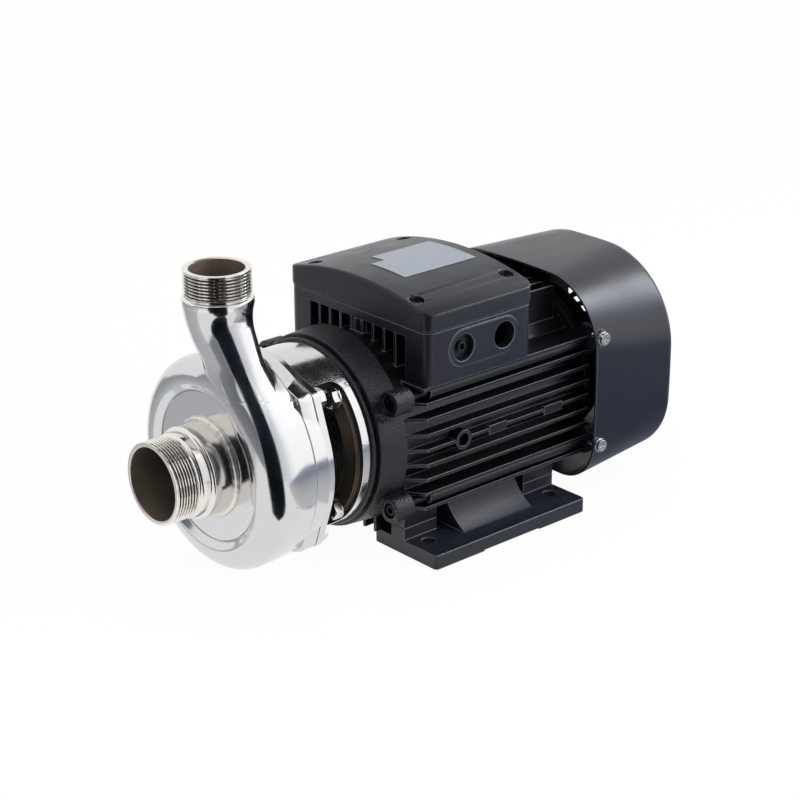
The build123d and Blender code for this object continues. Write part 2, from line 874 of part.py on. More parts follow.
def front_end_shield():
    """Rough cast front shield: face, skirt, spigots, bearing hub and four ears."""
    skirt_inner = shield_radius - shield_wall
    ring_x = frame_front_x - shield_ring_thickness
    spigot_inner = spigot_radius - spigot_wall
    wall_back_x = shield_front_x + shield_front_wall
    front_bearing_back_x = front_bearing_x + bearing_width
    nose_radius = lantern_spigot_radius - spigot_clearance
    hole_radius = shaft_front_radius + shaft_hole_clearance
    nose_x = shield_front_x - lantern_spigot_length
    groove_x = shield_front_x + shield_front_ring_length
    shell = turned([
        (nose_x, hole_radius),
        (nose_x, nose_radius),
        (shield_front_x, nose_radius),
        (shield_front_x, shield_front_radius),
        (groove_x, shield_front_radius),
        (groove_x, shield_front_radius - shield_groove_depth),
        (groove_x + shield_groove_length, shield_front_radius - shield_groove_depth),
        (groove_x + shield_groove_length, shield_shoulder_radius),
        (frame_front_x, shield_radius),
        (frame_front_x, spigot_radius),
        (frame_front_x + shield_spigot_length, spigot_radius),
        (frame_front_x + shield_spigot_length, spigot_inner),
        (ring_x, spigot_inner),
        (ring_x, skirt_inner),
        (wall_back_x, skirt_inner),
        (wall_back_x, bearing_outer_radius + hub_wall),
        (front_bearing_back_x, bearing_outer_radius + hub_wall),
        (front_bearing_back_x, bearing_outer_radius),
        (front_bearing_x, bearing_outer_radius),
        (front_bearing_x, hole_radius),
    ])
    ears = [rod_x(ear_radius, ear_front_x, ear_front_x + ear_length, y, z) for y, z in tie_rods_at]
    bosses = [
        rod_x(shield_boss_radius, shield_front_x, shield_front_x + shield_boss_length, y, z)
        for y, z in on_diagonals(lantern_bolt_radius)
    ]
    body = joined([shell] + ears + bosses)
    for y, z in on_diagonals(lantern_bolt_radius):
        body -= rod_x(bolt_diameter / 2, shield_front_x, shield_front_x + lantern_bolt_bite, y, z)
    socket_floor = ear_front_x + ear_socket_depth
    rod_hole_radius = tie_rod_diameter / 2 + tie_rod_hole_clearance
    for y, z in tie_rods_at:
        body -= rod_x(scallop_radius, ear_front_x - scallop_length, ear_front_x, y, z)
        body -= rod_x(tie_rod_socket_diameter / 2, ear_front_x, socket_floor, y, z)
        body -= rod_x(rod_hole_radius, socket_floor, ear_front_x + ear_length, y, z)
    return body


def rear_end_shield():
    """Rear shield inside the fan cover: spigot, wall, bearing hub, ears and fan cover lugs."""
    spigot_inner = spigot_radius - spigot_wall
    hub_outer = bearing_outer_radius + hub_wall
    hole_radius = shaft_fan_radius + shaft_hole_clearance
    wall_back_x = frame_rear_x + rear_shield_wall
    body = turned([
        (frame_rear_x - shield_spigot_length, spigot_inner),
        (frame_rear_x - shield_spigot_length, spigot_radius),
        (frame_rear_x, spigot_radius),
        (frame_rear_x, rear_shield_radius),
        (wall_back_x, rear_shield_radius),
        (wall_back_x, hub_outer),
        (rear_cap_back_x, hub_outer),
        (rear_cap_back_x, hole_radius),
        (rear_shield_back_x, hole_radius),
        (rear_shield_back_x, bearing_outer_radius),
        (rear_bearing_x, bearing_outer_radius),
        (rear_bearing_x, hub_outer),
        (frame_rear_x, hub_outer),
        (frame_rear_x, spigot_inner),
    ])
    for y, z in tie_rods_at:
        body += rod_x(rear_ear_radius, frame_rear_x, frame_rear_x + rear_ear_length, y, z)
    half = cover_lug_size / 2
    start = max(frame_rear_x, cover_screw_x - half)
    lugs = Part()
    for side in (-1, 1):
        for z in (cover_screw_lower_z, cover_screw_upper_z):
            near, far = sorted((side * (tie_rod_y - 4), side * fan_cover_half_width))
            lugs += block((start, cover_screw_x + half), (near, far), (z - half, z + half))
    body += lugs & fan_cover_form(fan_cover_wall + cover_lug_clearance)
    for x, y, z, side in cover_screws_at():
        tip = y - side * (fan_cover_wall + cover_screw_bite)
        body -= rod_y(cover_screw_diameter / 2, min(tip, y), max(tip, y), x, z)
    for y, z in tie_rods_at:
        hole_radius = tie_rod_diameter / 2 + tie_rod_hole_clearance
        body -= rod_x(hole_radius, frame_rear_x, frame_rear_x + rear_ear_length, y, z)
    return body


def tie_rods():
    """Long screws that clamp both shields to the frame, with socket heads."""
    head_x = ear_front_x + ear_socket_depth - tie_rod_head_height
    nut_back_x = frame_rear_x + rear_ear_length + tie_rod_nut_height
    rods = []
    for y, z in tie_rods_at:
        rod = rod_x(tie_rod_diameter / 2, head_x, nut_back_x + tie_rod_thread_stand, y, z)
        rod += rod_x(tie_rod_head_diameter / 2, head_x, head_x + tie_rod_head_height, y, z)
        rod -= hexagon_x(tie_rod_key_radius, head_x, head_x + tie_rod_head_height / 2, y, z)
        rods.append(rod)
    return Compound(rods)


def tie_rod_nuts():
    """Nuts on the rear ends of the tie rods."""
    start = frame_rear_x + rear_ear_length
    end = start + tie_rod_nut_height
    nuts = []
    for y, z in tie_rods_at:
        nut = hexagon_x(tie_rod_nut_across_flats, start, end, y, z)
        nuts.append(nut - rod_x(tie_rod_diameter / 2, start, end, y, z))
    return Compound(nuts)


def lantern():
    """Stainless bracket between casing and motor, open at both sides."""
    recess_x = joint_x + cover_seat_depth
    shell_inner = lantern_radius - lantern_wall
    rear_wall_x = shield_front_x - lantern_rear_wall
    body = across_x(lugged_face(flange_radius, lug_radius), joint_x, lantern_flange_rear_x)
    body += rod_x(lantern_radius, joint_x, shield_front_x)
    body -= rod_x(shell_inner, lantern_flange_rear_x, rear_wall_x)
    body -= rod_x(lantern_spigot_radius, joint_x, shield_front_x)
    body -= rod_x(casing_spigot_radius, joint_x, recess_x)
    body -= rod_x(lantern_spigot_radius, recess_x, lantern_flange_rear_x)
    window_half = lantern_radius * sin(radians(window_half_angle))
    window_back_x = shield_front_x - lantern_rear_ring
    window = block((lantern_flange_rear_x, window_back_x), (-shield_radius, shield_radius),
                   (-window_half, window_half))
    window = fillet(window.edges().filter_by(Axis.Y), window_corner_radius)
    body -= window - rod_x(shell_inner, rear_wall_x, shield_front_x)
    spot_radius = washer_diameter / 2 + spot_face_clearance
    for y, z in on_diagonals(lug_circle_radius):
        body -= rod_x(spot_radius, lantern_flange_rear_x, lantern_flange_rear_x + spot_face_length, y, z)
        body -= rod_x(bolt_diameter / 2 + bolt_hole_clearance, joint_x, lantern_flange_rear_x, y, z)
    for y, z in on_diagonals(lantern_bolt_radius):
        body -= rod_x(bolt_diameter / 2 + bolt_hole_clearance, rear_wall_x, shield_front_x, y, z)
    return body


def hex_bolt(seat_x, tip_x, side, y, z):
    """A hexagon bolt whose washer sits on seat_x and whose thread ends at tip_x."""
    under_head = seat_x + side * washer_thickness
    top = under_head + side * bolt_head_height
    head = hexagon_x(bolt_across_flats, min(under_head, top), max(under_head, top), y, z)
    return head + rod_x(bolt_diameter / 2, min(under_head, tip_x), max(under_head, tip_x), y, z)


def washer(seat_x, side, y, z):
    """A flat washer on seat_x."""
    far = seat_x + side * washer_thickness
    return tube_x(washer_diameter / 2, bolt_diameter / 2, min(seat_x, far), max(seat_x, far), y, z)


def casing_bolts():
    """Bolts that hold the casing to the lantern, put in from the windows."""
    seat_x = lantern_flange_rear_x
    tip_x = joint_x - casing_bolt_bite
    return Compound([hex_bolt(seat_x, tip_x, 1, y, z) for y, z in on_diagonals(lug_circle_radius)])


def casing_washers():
    """Washers under the casing bolts."""
    seat_x = lantern_flange_rear_x
    return Compound([washer(seat_x, 1, y, z) for y, z in on_diagonals(lug_circle_radius)])


def lantern_bolts():
    """Bolts that hold the lantern to the motor."""
    seat_x = shield_front_x - lantern_rear_wall
    tip_x = shield_front_x + lantern_bolt_bite
    return Compound([hex_bolt(seat_x, tip_x, -1, y, z) for y, z in on_diagonals(lantern_bolt_radius)])


def lantern_washers():
    """Washers under the lantern bolts."""
    seat_x = shield_front_x - lantern_rear_wall
    return Compound([washer(seat_x, -1, y, z) for y, z in on_diagonals(lantern_bolt_radius)])


def side_fin_reach_at(z):
    """How far a side fin stands out at a height, following the round of the frame."""
    return side_fin_reach - z**2 / (2 * side_fin_bulge_radius)


def side_fins():
    """The fins on both sides, their fronts cut back to a slant."""
    fins = Part()
    root_limit = frame_bore_radius + frame_wall / 2
    for count in range(side_fin_count):
        z = side_fin_lowest_z + count * side_fin_pitch
        reach = side_fin_reach_at(z)
        root = sqrt(root_limit**2 - z**2)
        outline = [
            (side_fin_front_x - side_fin_chamfer, root),
            (side_fin_front_x, reach),
            (frame_rear_x, reach),
            (frame_rear_x, root),
        ]
        face = Pos(0, 0, z - fin_thickness / 2) * make_face(Polyline(*outline, close=True))
        fin = extrude(face, fin_thickness)
        fins += [fin, mirror(fin, Plane.XZ)]
    return fins


def upright_fins(count, front_x, tip_z):
    """A row of upright fins above or below the shell, on the side that the tip's height tells."""
    fins = Part()
    side = 1 if tip_z > 0 else -1
    root_limit = frame_bore_radius + frame_wall / 2
    for place in range(count):
        y = (place - (count - 1) / 2) * upright_fin_pitch
        low, high = sorted((side * sqrt(root_limit**2 - y**2), tip_z))
        span = (y - fin_thickness / 2, y + fin_thickness / 2)
        fins += block((front_x, frame_rear_x - fin_rear_gap), span, (low, high))
    return fins


def box_screws_at():
    """Places of the screws that hold the terminal box to the frame."""
    return [(box_centre_x + x, y) for x, y in corners(box_screw_spacing_x, box_screw_spacing_y)]


def foot_screws_at():
    """Places of the screws that hold the feet to the frame."""
    return corners(2 * foot_screw_x, 2 * foot_screw_y)


def foot_blocks_x():
    """The two spans along X of the blocks of a foot."""
    far = foot_length / 2
    return ((-far, foot_block_length - far), (far - foot_block_length, far))


def motor_frame():
    """The extruded frame: shell, fins, ledges for the box, foot pads and bosses."""
    shell = tube_x(frame_root_radius, frame_bore_radius, frame_front_x, frame_rear_x)
    body = shell + side_fins()
    body += upright_fins(top_fin_count, top_fin_front_x, top_fin_height)
    body += upright_fins(bottom_fin_count, bottom_fin_front_x, -bottom_fin_height)
    for side in (-1, 1):
        near, far = sorted((side * ledge_root_y, side * ledge_reach))
        body += block((box_front_x - 2, frame_rear_x), (near, far), (ledge_z - ledge_thickness, ledge_z))
        near, far = sorted((side * foot_block_inner_y, side * foot_block_outer_y))
        for span in foot_blocks_x():
            body += block(span, (near, far), (foot_block_top_z, foot_block_root_z))
    fin_z = side_fin_lowest_z + 4 * side_fin_pitch
    body += rod_y(earth_boss_radius, -earth_boss_reach, -frame_bore_radius, earth_boss_x, fin_z)
    pad_reach = side_fin_reach + fin_pad_stand
    for span in fin_pad_spans:
        half = fin_pad_height / 2
        body += block(span, (-pad_reach, 3 - side_fin_reach), (fin_z - half, fin_z + half))
    for y, z in tie_rods_at:
        body += rod_x(rod_rib_radius, rod_rib_front_x, frame_rear_x, y, z)
    for x, y in box_screws_at():
        body += rod_z(box_screw_boss_radius, box_screw_boss_root_z, box_floor_z, x, y)
    body += rod_z(lead_boss_radius, frame_bore_radius, box_floor_z, lead_hole_x)
    body -= rod_x(frame_bore_radius, frame_front_x, frame_rear_x)
    for y, z in tie_rods_at:
        body -= rod_x(tie_rod_diameter / 2 + tie_rod_hole_clearance, rod_rib_front_x, frame_rear_x, y, z)
    body -= rod_z(lead_hole_radius, frame_bore_radius / 2, box_floor_z, lead_hole_x)
    for x, y in box_screws_at():
        body -= rod_z(box_screw_diameter / 2, box_floor_z - box_screw_bite, box_floor_z, x, y)
    for x, y in foot_screws_at():
        body -= rod_z(foot_screw_diameter / 2, foot_block_top_z, foot_block_top_z + foot_screw_bite, x, y)
    recess_y = earth_boss_reach - earth_recess_depth
    body -= rod_y(earth_recess_radius, -earth_boss_reach, -recess_y, earth_boss_x, fin_z)
    body -= rod_y(earth_screw_diameter / 2, -recess_y, earth_screw_bite - recess_y, earth_boss_x, fin_z)
    return body


def earth_screw():
    """The earth screw sunk in the boss on the side of the frame."""
    fin_z = side_fin_lowest_z + 4 * side_fin_pitch
    seat_y = earth_recess_depth - earth_boss_reach
    top_y = seat_y - earth_screw_head_height
    body = rod_y(earth_screw_head_diameter / 2, top_y, seat_y, earth_boss_x, fin_z)
    body += rod_y(earth_screw_diameter / 2, seat_y, seat_y + earth_screw_bite, earth_boss_x, fin_z)
    socket = Pos(earth_boss_x, 0, fin_z) * across_y(
        RegularPolygon(earth_socket_diameter / 2, 6, major_radius=False), top_y, top_y + 2
    )
    return body - socket


def foot(side):
    """One bolt-on foot: plate, two blocks and the slanted web between them."""
    near, far = sorted((side * foot_inner_y, side * foot_outer_y))
    half = foot_length / 2
    body = block((-half, half), (near, far), (-shaft_height, foot_plate_top_z))
    body = fillet(body.edges().filter_by(Axis.Z), foot_corner_radius)
    near, far = sorted((side * foot_block_inner_y, side * foot_block_outer_y))
    for span in foot_blocks_x():
        body += block(span, (near, far), (foot_plate_top_z, foot_block_top_z))
    web_top_z = foot_plate_top_z + foot_web_height
    inner = side * foot_block_inner_y
    shoulder = (side * foot_block_outer_y, web_top_z)
    foot_edge = (side * foot_web_outer_y, foot_plate_top_z)
    middle_y = side * (foot_block_outer_y + foot_web_hollow * (foot_web_outer_y - foot_block_outer_y))
    middle = (middle_y, foot_plate_top_z + foot_web_hollow * foot_web_height)
    outline = [
        Line((inner, foot_plate_top_z), (inner, web_top_z)),
        Line((inner, web_top_z), shoulder),
        ThreePointArc(shoulder, middle, foot_edge),
        Line(foot_edge, (inner, foot_plate_top_z)),
    ]
    web = across_x(make_face(Curve() + outline), -foot_web_length / 2, foot_web_length / 2)
    body += web
    near, far = sorted((side * (foot_inner_y - 1), side * (foot_outer_y + 1)))
    relief = foot_relief_length / 2
    body -= block((-relief, relief), (near, far), (-shaft_height, foot_relief_depth - shaft_height))
    for x in (-foot_hole_spacing_x / 2, foot_hole_spacing_x / 2):
        y = side * foot_hole_spacing_y / 2
        body -= rod_z(foot_hole_diameter / 2, -shaft_height, foot_plate_top_z, x, y)
    for x in (-foot_screw_x, foot_screw_x):
        y = side * foot_screw_y
        recess_top_z = foot_screw_head_recess - shaft_height
        body -= rod_z(foot_screw_head_diameter / 2 + 0.5, -shaft_height, recess_top_z, x, y)
        body -= rod_z(foot_screw_diameter / 2 + bolt_hole_clearance, recess_top_z, foot_block_top_z, x, y)
    return body


def foot_near():
    """The foot on the side of the cable entries."""
    return foot(-1)


def foot_far():
    """The foot on the other side."""
    return foot(1)


def foot_screws():
    """Socket screws from below that hold the feet to the frame."""
    seat_z = foot_screw_head_recess - shaft_height
    head_z = seat_z - foot_screw_head_height
    screws = []
    for x, y in foot_screws_at():
        screw = rod_z(foot_screw_head_diameter / 2, head_z, seat_z, x, y)
        screw += rod_z(foot_screw_diameter / 2, seat_z, foot_block_top_z + foot_screw_bite, x, y)
        socket_top_z = head_z + foot_screw_head_height / 2
        screws.append(screw - hexagon_z(foot_screw_key_radius, head_z, socket_top_z, x, y))
    return Compound(screws)


def box_plan(inset, radius):
    """The rounded plan of the terminal box, drawn in by an inset."""
    return Pos(box_centre_x, 0) * RectangleRounded(
        box_length - 2 * inset, 2 * (box_half_width - inset), radius
    )


def box_prism(inset, low, high):
    """The plan of the box carried from one height to another."""
    radius = box_corner_radius - inset
    return extrude(Pos(0, 0, low) * box_plan(inset, radius), high - low)


def lid_screws_at():
    """Places of the lid screws."""
    half = box_length / 2 - lid_screw_inset_x
    return [(box_centre_x + x, y) for x, y in corners(2 * half, 2 * lid_screw_y)]


def terminal_box():
    """The saddle shaped box with deep side pockets, posts and two cable entries."""
    saddle_inner = box_saddle_half_width + box_wall
    span = (box_front_x - 1, box_front_x + box_length + 1)
    body = box_prism(0.0, ledge_z, box_joint_z)
    body -= block(span, (-box_saddle_half_width, box_saddle_half_width), (ledge_z, box_floor_z))
    cavity = box_prism(box_wall, ledge_z + box_wall, box_joint_z)
    cavity -= block(span, (-saddle_inner, saddle_inner), (ledge_z, box_inner_floor_z))
    body -= cavity
    for x, y in lid_screws_at():
        body += rod_z(lid_post_radius, box_inner_floor_z - box_wall, box_joint_z, x, y)
    pad = make_hull([
        edge for x in (entry_plug_x, entry_free_x)
        for edge in (Pos(x, entry_z) * Circle(entry_pad_radius)).edges()
    ])
    body += across_y(pad, -box_half_width - entry_pad_stand, -box_half_width + 1)
    boss_radius = entry_diameter / 2 + entry_boss_wall
    boss_end_y = entry_boss_depth - box_half_width
    for x in (entry_plug_x, entry_free_x):
        body += rod_y(boss_radius, 1 - box_half_width, boss_end_y, x, entry_z)
        body -= rod_y(entry_diameter / 2, -box_half_width - entry_pad_stand, boss_end_y, x, entry_z)
    for x, y in lid_screws_at():
        body -= rod_z(lid_screw_diameter / 2, box_joint_z - lid_screw_bite, box_joint_z, x, y)
    for x, y in box_screws_at():
        body -= rod_z(box_screw_diameter / 2, box_floor_z, box_inner_floor_z, x, y)
    body -= rod_z(lead_hole_radius, box_floor_z, box_inner_floor_z, lead_hole_x)
    return body


def terminal_box_gasket():
    """The thin gasket between box and lid."""
    body = box_prism(0.0, box_joint_z, lid_base_z) - box_prism(box_wall, box_joint_z, lid_base_z)
    for x, y in lid_screws_at():
        body += rod_z(lid_post_radius, box_joint_z, lid_base_z, x, y)
    for x, y in lid_screws_at():
        body -= rod_z(lid_screw_diameter / 2, box_joint_z, lid_base_z, x, y)
    return body


def arch(raised):
    """A long prism whose top is the arch of the lid, raised by a little."""
    radius = lid_arc_radius + raised
    start, end = box_front_x - 5, box_front_x + box_length + 5
    reach = lid_half_width + 5
    under = block((start, end), (-reach, reach), (lid_base_z - 5, lid_arc_centre_z + radius + 1))
    return under & rod_x(radius, start, end, 0, lid_arc_centre_z)


def terminal_box_lid():
    """The arched lid with four sunk screw pockets."""
    top = lid_edge_z + lid_crown + 1
    outer = box_prism(-lid_overhang, lid_base_z, top) & arch(0.0)
    rim = outer.edges().filter_by(lambda edge: edge.center().Z > lid_edge_z - 1)
    outer = fillet(rim, lid_edge_radius)
    inner = box_prism(box_wall, lid_base_z, top) & arch(-lid_wall)
    body = outer - inner
    head_z = lid_base_z + lid_screw_recess_floor
    for x, y in lid_screws_at():
        body += rod_z(lid_screw_recess_radius + 2, lid_base_z, top, x, y) & outer
    for x, y in lid_screws_at():
        body -= rod_z(lid_screw_recess_radius, head_z, top, x, y)
        body -= rod_z(lid_screw_diameter / 2, lid_base_z, head_z, x, y)
    return body


def lid_screws():
    """Pan head screws at the bottom of the lid pockets."""
    seat_z = lid_base_z + lid_screw_recess_floor
    top_z = seat_z + lid_screw_head_height
    screws = []
    for x, y in lid_screws_at():
        screw = rod_z(lid_screw_head_diameter / 2, seat_z, top_z, x, y)
        screw += rod_z(lid_screw_diameter / 2, box_joint_z - lid_screw_bite, seat_z, x, y)
        depth = (top_z - cross_depth, top_z)
        slot = block((x - cross_reach, x + cross_reach), (y - cross_half, y + cross_half), depth)
        slot += block((x - cross_half, x + cross_half), (y - cross_reach, y + cross_reach), depth)
        screws.append(screw - slot)
    return Compound(screws)


def rating_label():
    """The blank plate on the arch of the lid, with one corner left out."""
    rear = label_front_x + label_length
    half = label_width / 2
    outline = [
        (label_front_x, -half),
        (rear, -half),
        (rear, half),
        (label_front_x + label_notch_length, half),
        (label_front_x + label_notch_length, half - label_notch_width),
        (label_front_x, half - label_notch_width),
    ]
    top = lid_edge_z + lid_crown + 1
    plate = extrude(Pos(0, 0, lid_edge_z) * make_face(Polyline(*outline, close=True)), top - lid_edge_z)
    return (plate & arch(label_lift + label_thickness)) - arch(label_lift)


def gland_plug():
    """The sunk plug in the first cable entry, with a stem to turn it by."""
    front_y = plug_sink - box_half_width
    stem_y = front_y - plug_stem_length
    body = rod_y(entry_diameter / 2, front_y, front_y + plug_depth, entry_plug_x, entry_z)
    body += rod_y(plug_stem_radius, stem_y, front_y, entry_plug_x, entry_z)
    socket = Pos(entry_plug_x, 0, entry_z) * across_y(
        RegularPolygon(plug_socket_diameter / 2, 6, major_radius=False), stem_y, front_y
    )
    return body - socket


def studs_at():
    """Places of the terminal studs."""
    return [
        (box_centre_x + x * stud_pitch_x, y * stud_pitch_y / 2) for x in (-1, 0, 1) for y in (-1, 1)
    ]


def terminal_board():
    """The insulating board on the box floor."""
    body = block(
        (box_centre_x - board_length / 2, box_centre_x + board_length / 2),
        (-board_width / 2, board_width / 2),
        (box_inner_floor_z, box_inner_floor_z + board_thickness),
    )
    for x, y in studs_at():
        body -= rod_z(stud_diameter / 2, box_inner_floor_z, box_inner_floor_z + board_thickness, x, y)
    return body


def terminal_studs():
    """The brass studs of the board."""
    top = box_inner_floor_z + board_thickness + stud_stand
    return Compound([rod_z(stud_diameter / 2, box_inner_floor_z, top, x, y) for x, y in studs_at()])


def terminal_links():
    """The three links across the pairs of studs."""
    low = box_inner_floor_z + board_thickness
    high = low + link_thickness
    links = []
    for x in (-stud_pitch_x, 0, stud_pitch_x):
        middle = box_centre_x + x
        face = Pos(middle, 0, low) * SlotCenterToCenter(stud_pitch_y, link_width, rotation=90)
        link = extrude(face, link_thickness)
        for y in (-stud_pitch_y / 2, stud_pitch_y / 2):
            link -= rod_z(stud_diameter / 2, low, high, middle, y)
        links.append(link)
    return Compound(links)


def terminal_nuts():
    """Brass nuts on the studs, above the links."""
    low = box_inner_floor_z + board_thickness + link_thickness
    high = low + stud_nut_height
    nuts = []
    for x, y in studs_at():
        nut = hexagon_z(stud_nut_across_flats, low, high, x, y)
        nuts.append(nut - rod_z(stud_diameter / 2, low, high, x, y))
    return Compound(nuts)


def winding_leads():
    """Three insulated leads from the winding, up through the frame, to the near row of studs."""
    level = box_inner_floor_z + board_thickness + link_thickness + stud_nut_height / 2
    nut_side = stud_pitch_y / 2 + stud_nut_across_flats / sqrt(3)
    leads = []
    for count in range(lead_count):
        start_x = lead_hole_x + lead_pitch * (1 - count)
        stud_x = box_centre_x + stud_pitch_x * (count - 1)
        lane_y = -nut_side - 2 * lead_turn_radius - lead_pitch * count
        path = FilletPolyline(
            (start_x, 0, winding_outer_radius),
            (start_x, 0, level),
            (start_x, lane_y, level),
            (stud_x, lane_y, level),
            (stud_x, -nut_side, level),
            radius=lead_turn_radius,
        )
        leads.append(sweep(Pos(start_x, 0, winding_outer_radius) * Circle(lead_radius), path=path))
    return Compound(leads)


def box_fixing_screws():
    """Pan head screws that hold the box to the frame."""
    top = box_inner_floor_z + box_screw_head_height
    screws = []
    for x, y in box_screws_at():
        screw = rod_z(box_screw_head_diameter / 2, box_inner_floor_z, top, x, y)
        screw += rod_z(box_screw_diameter / 2, box_floor_z - box_screw_bite, box_inner_floor_z, x, y)
        screws.append(screw)
    return Compound(screws)


def fan():
    """Straight bladed fan that works in both directions."""
    body = tube_x(fan_hub_radius, shaft_fan_radius, fan_front_x, fan_back_x)
    body += tube_x(fan_disc_radius, shaft_fan_radius, fan_front_x, fan_front_x + fan_disc_thickness)
    half = fan_blade_thickness / 2
    for turn in range(fan_blade_count):
        blade = block((fan_front_x, fan_back_x), (fan_hub_radius - 2, fan_radius), (-half, half))
        body += Rot(turn * 360 / fan_blade_count, 0, 0) * blade
    return body


def fan_circlip():
    """The open ring that keeps the fan on the shaft."""
    inner = shaft_fan_radius - circlip_groove_depth
    body = tube_x(inner + circlip_radial, inner, fan_back_x, fan_back_x + circlip_thickness)
    return body - block((fan_back_x, fan_back_x + circlip_thickness), (-3, 3), (0, 3 * shaft_fan_radius))


def fan_cover_section(half, low, high, top_corner, bottom_corner):
    """A section of the fan cover in (y, z): gently bulging sides and top, rounded corners."""
    corner_y = half - fan_cover_side_bulge
    corner_z = high - fan_cover_top_bulge
    middle_z = (low + corner_z) / 2
    outline = [
        Line((-corner_y, low), (corner_y, low)),
        ThreePointArc((corner_y, low), (half, middle_z), (corner_y, corner_z)),
        ThreePointArc((corner_y, corner_z), (0, high), (-corner_y, corner_z)),
        ThreePointArc((-corner_y, corner_z), (-half, middle_z), (-corner_y, low)),
    ]
    face = make_face(Curve() + outline)
    face = fillet(face.vertices().group_by(Axis.Y)[0], bottom_corner)
    return fillet(face.vertices().filter_by(lambda corner: corner.Y > corner_z - 1), top_corner)


def fan_cover_mouth(inset):
    """The front section of the fan cover, drawn in by an inset."""
    return fan_cover_section(
        fan_cover_half_width - inset, fan_cover_bottom_z + inset, fan_cover_top_z - inset,
        fan_cover_top_corner_radius - inset, fan_cover_bottom_corner_radius - inset
    )


def fan_cover_back(inset):
    """The rounder rear section of the fan cover, drawn in by an inset."""
    return fan_cover_section(
        fan_cover_rear_half_width - inset, fan_cover_rear_bottom_z + inset, fan_cover_rear_top_z - inset,
        fan_cover_rear_top_corner_radius - inset, fan_cover_rear_bottom_corner_radius - inset
    )


def cover_screws_at():
    """Places of the fan cover screws: x, y of the seat, z and side."""
    seat_y = fan_cover_half_width - cover_screw_pad_sink
    return [
        (cover_screw_x, side * seat_y, z, side)
        for side in (-1, 1) for z in (cover_screw_lower_z, cover_screw_upper_z)
    ]


def grille():
    """The ring slots in the rear wall of the fan cover, crossed by spokes."""
    rear = fan_cover_front_x + fan_cover_length
    start = rear - 2 * fan_cover_wall
    slots = Part()
    for count in range(grille_rings):
        radius = grille_inner_radius + count * grille_pitch
        slots += tube_x(radius + grille_slot_width, radius, start, rear)
    half = grille_spoke_width / 2
    reach = grille_inner_radius + grille_rings * grille_pitch
    for turn in range(grille_spokes):
        spoke = block((start, rear), (0, reach), (-half, half))
        slots -= Rot(45 + turn * 360 / grille_spokes, 0, 0) * spoke
    return slots


def fan_cover_form(inset):
    """The closed form of the cover, rounder at the rear and with a rounded rear edge."""
    rear = fan_cover_front_x + fan_cover_length - inset
    front_face = Pos(fan_cover_front_x, 0, 0) * (Plane.YZ * fan_cover_mouth(inset))
    rear_face = Pos(rear, 0, 0) * (Plane.YZ * fan_cover_back(inset))
    form = loft(Sketch() + [front_face, rear_face], ruled=True)
    return fillet(form.edges().group_by(Axis.X)[-1], fan_cover_rear_edge_radius - inset)


def fan_cover():
    """The pressed fan cover with its rear grille."""
    inner = fan_cover_form(fan_cover_wall)
    body = fan_cover_form(0.0)
    for x, y, z, side in cover_screws_at():
        start = side * tie_rod_y
        body += rod_y(cover_screw_pad_radius, min(start, y), max(start, y), x, z)
    body -= inner
    body -= grille()
    for x, y, z, side in cover_screws_at():
        start = side * tie_rod_y
        above = y + side * fan_cover_wall
        body -= rod_y(cover_screw_pad_radius, min(y, above), max(y, above), x, z)
        body -= rod_y(cover_screw_diameter / 2, min(start, y), max(start, y), x, z)
    return body


def fan_cover_washers():
    """Flat washers under the fan cover screws."""
    washers = []
    for x, y, z, side in cover_screws_at():
        far = y + side * cover_washer_thickness
        ring = rod_y(cover_washer_diameter / 2, min(y, far), max(y, far), x, z)
        washers.append(ring - rod_y(cover_screw_diameter / 2, min(y, far), max(y, far), x, z))
    return Compound(washers)


def fan_cover_screws():
    """Cross head screws that hold the fan cover to the rear shield."""
    screws = []
    for x, y, z, side in cover_screws_at():
        seat = y + side * cover_washer_thickness
        top = seat + side * cover_screw_head_height
        tip = y - side * (fan_cover_wall + cover_screw_bite)
        screw = rod_y(cover_screw_head_diameter / 2, min(seat, top), max(seat, top), x, z)
        screw += rod_y(cover_screw_diameter / 2, min(tip, seat), max(tip, seat), x, z)
        floor = top - side * cross_depth
        depth = (min(floor, top), max(floor, top))
        screw -= block((x - cross_reach, x + cross_reach), depth, (z - cross_half, z + cross_half))
        screw -= block((x - cross_half, x + cross_half), depth, (z - cross_reach, z + cross_reach))
        screws.append(screw)
    return Compound(screws)


def write(name, shape):
    """Lift a piece from the shaft line to the mounting plane and write it."""
    export_step(Pos(0, 0, shaft_height) * shape, "parts/" + name + ".step")


os.makedirs("parts", exist_ok=True)
pieces = [
    volute_casing, suction_nipple, suction_weld, discharge_nipple, casing_o_ring, casing_cover,
    seal_seat_cup, seal_seat, seal_ring, seal_spring, seal_collar, impeller, impeller_key, impeller_nut,
    slinger, rotor_shaft, rotor_core, rotor_end_rings, stator_core, stator_windings, winding_leads,
    wave_washer, front_end_shield, rear_end_shield, tie_rods, tie_rod_nuts, lantern, casing_bolts,
    casing_washers, lantern_bolts, lantern_washers, motor_frame, earth_screw, foot_near, foot_far,
    foot_screws, terminal_box, terminal_box_gasket, terminal_box_lid, lid_screws, rating_label, gland_plug,
    terminal_board, terminal_studs, terminal_links, terminal_nuts, box_fixing_screws, fan, fan_circlip,
    fan_cover, fan_cover_washers, fan_cover_screws,
]
for piece in pieces:
    write(piece.__name__, piece())
for place, start_x in (("front_bearing", front_bearing_x), ("rear_bearing", rear_bearing_x)):
    write(place + "_outer_ring", bearing_outer_ring(start_x))
    write(place + "_inner_ring", bearing_inner_ring(start_x))
    write(place + "_balls", bearing_balls(start_x))
    write(place + "_cage", bearing_cage(start_x))
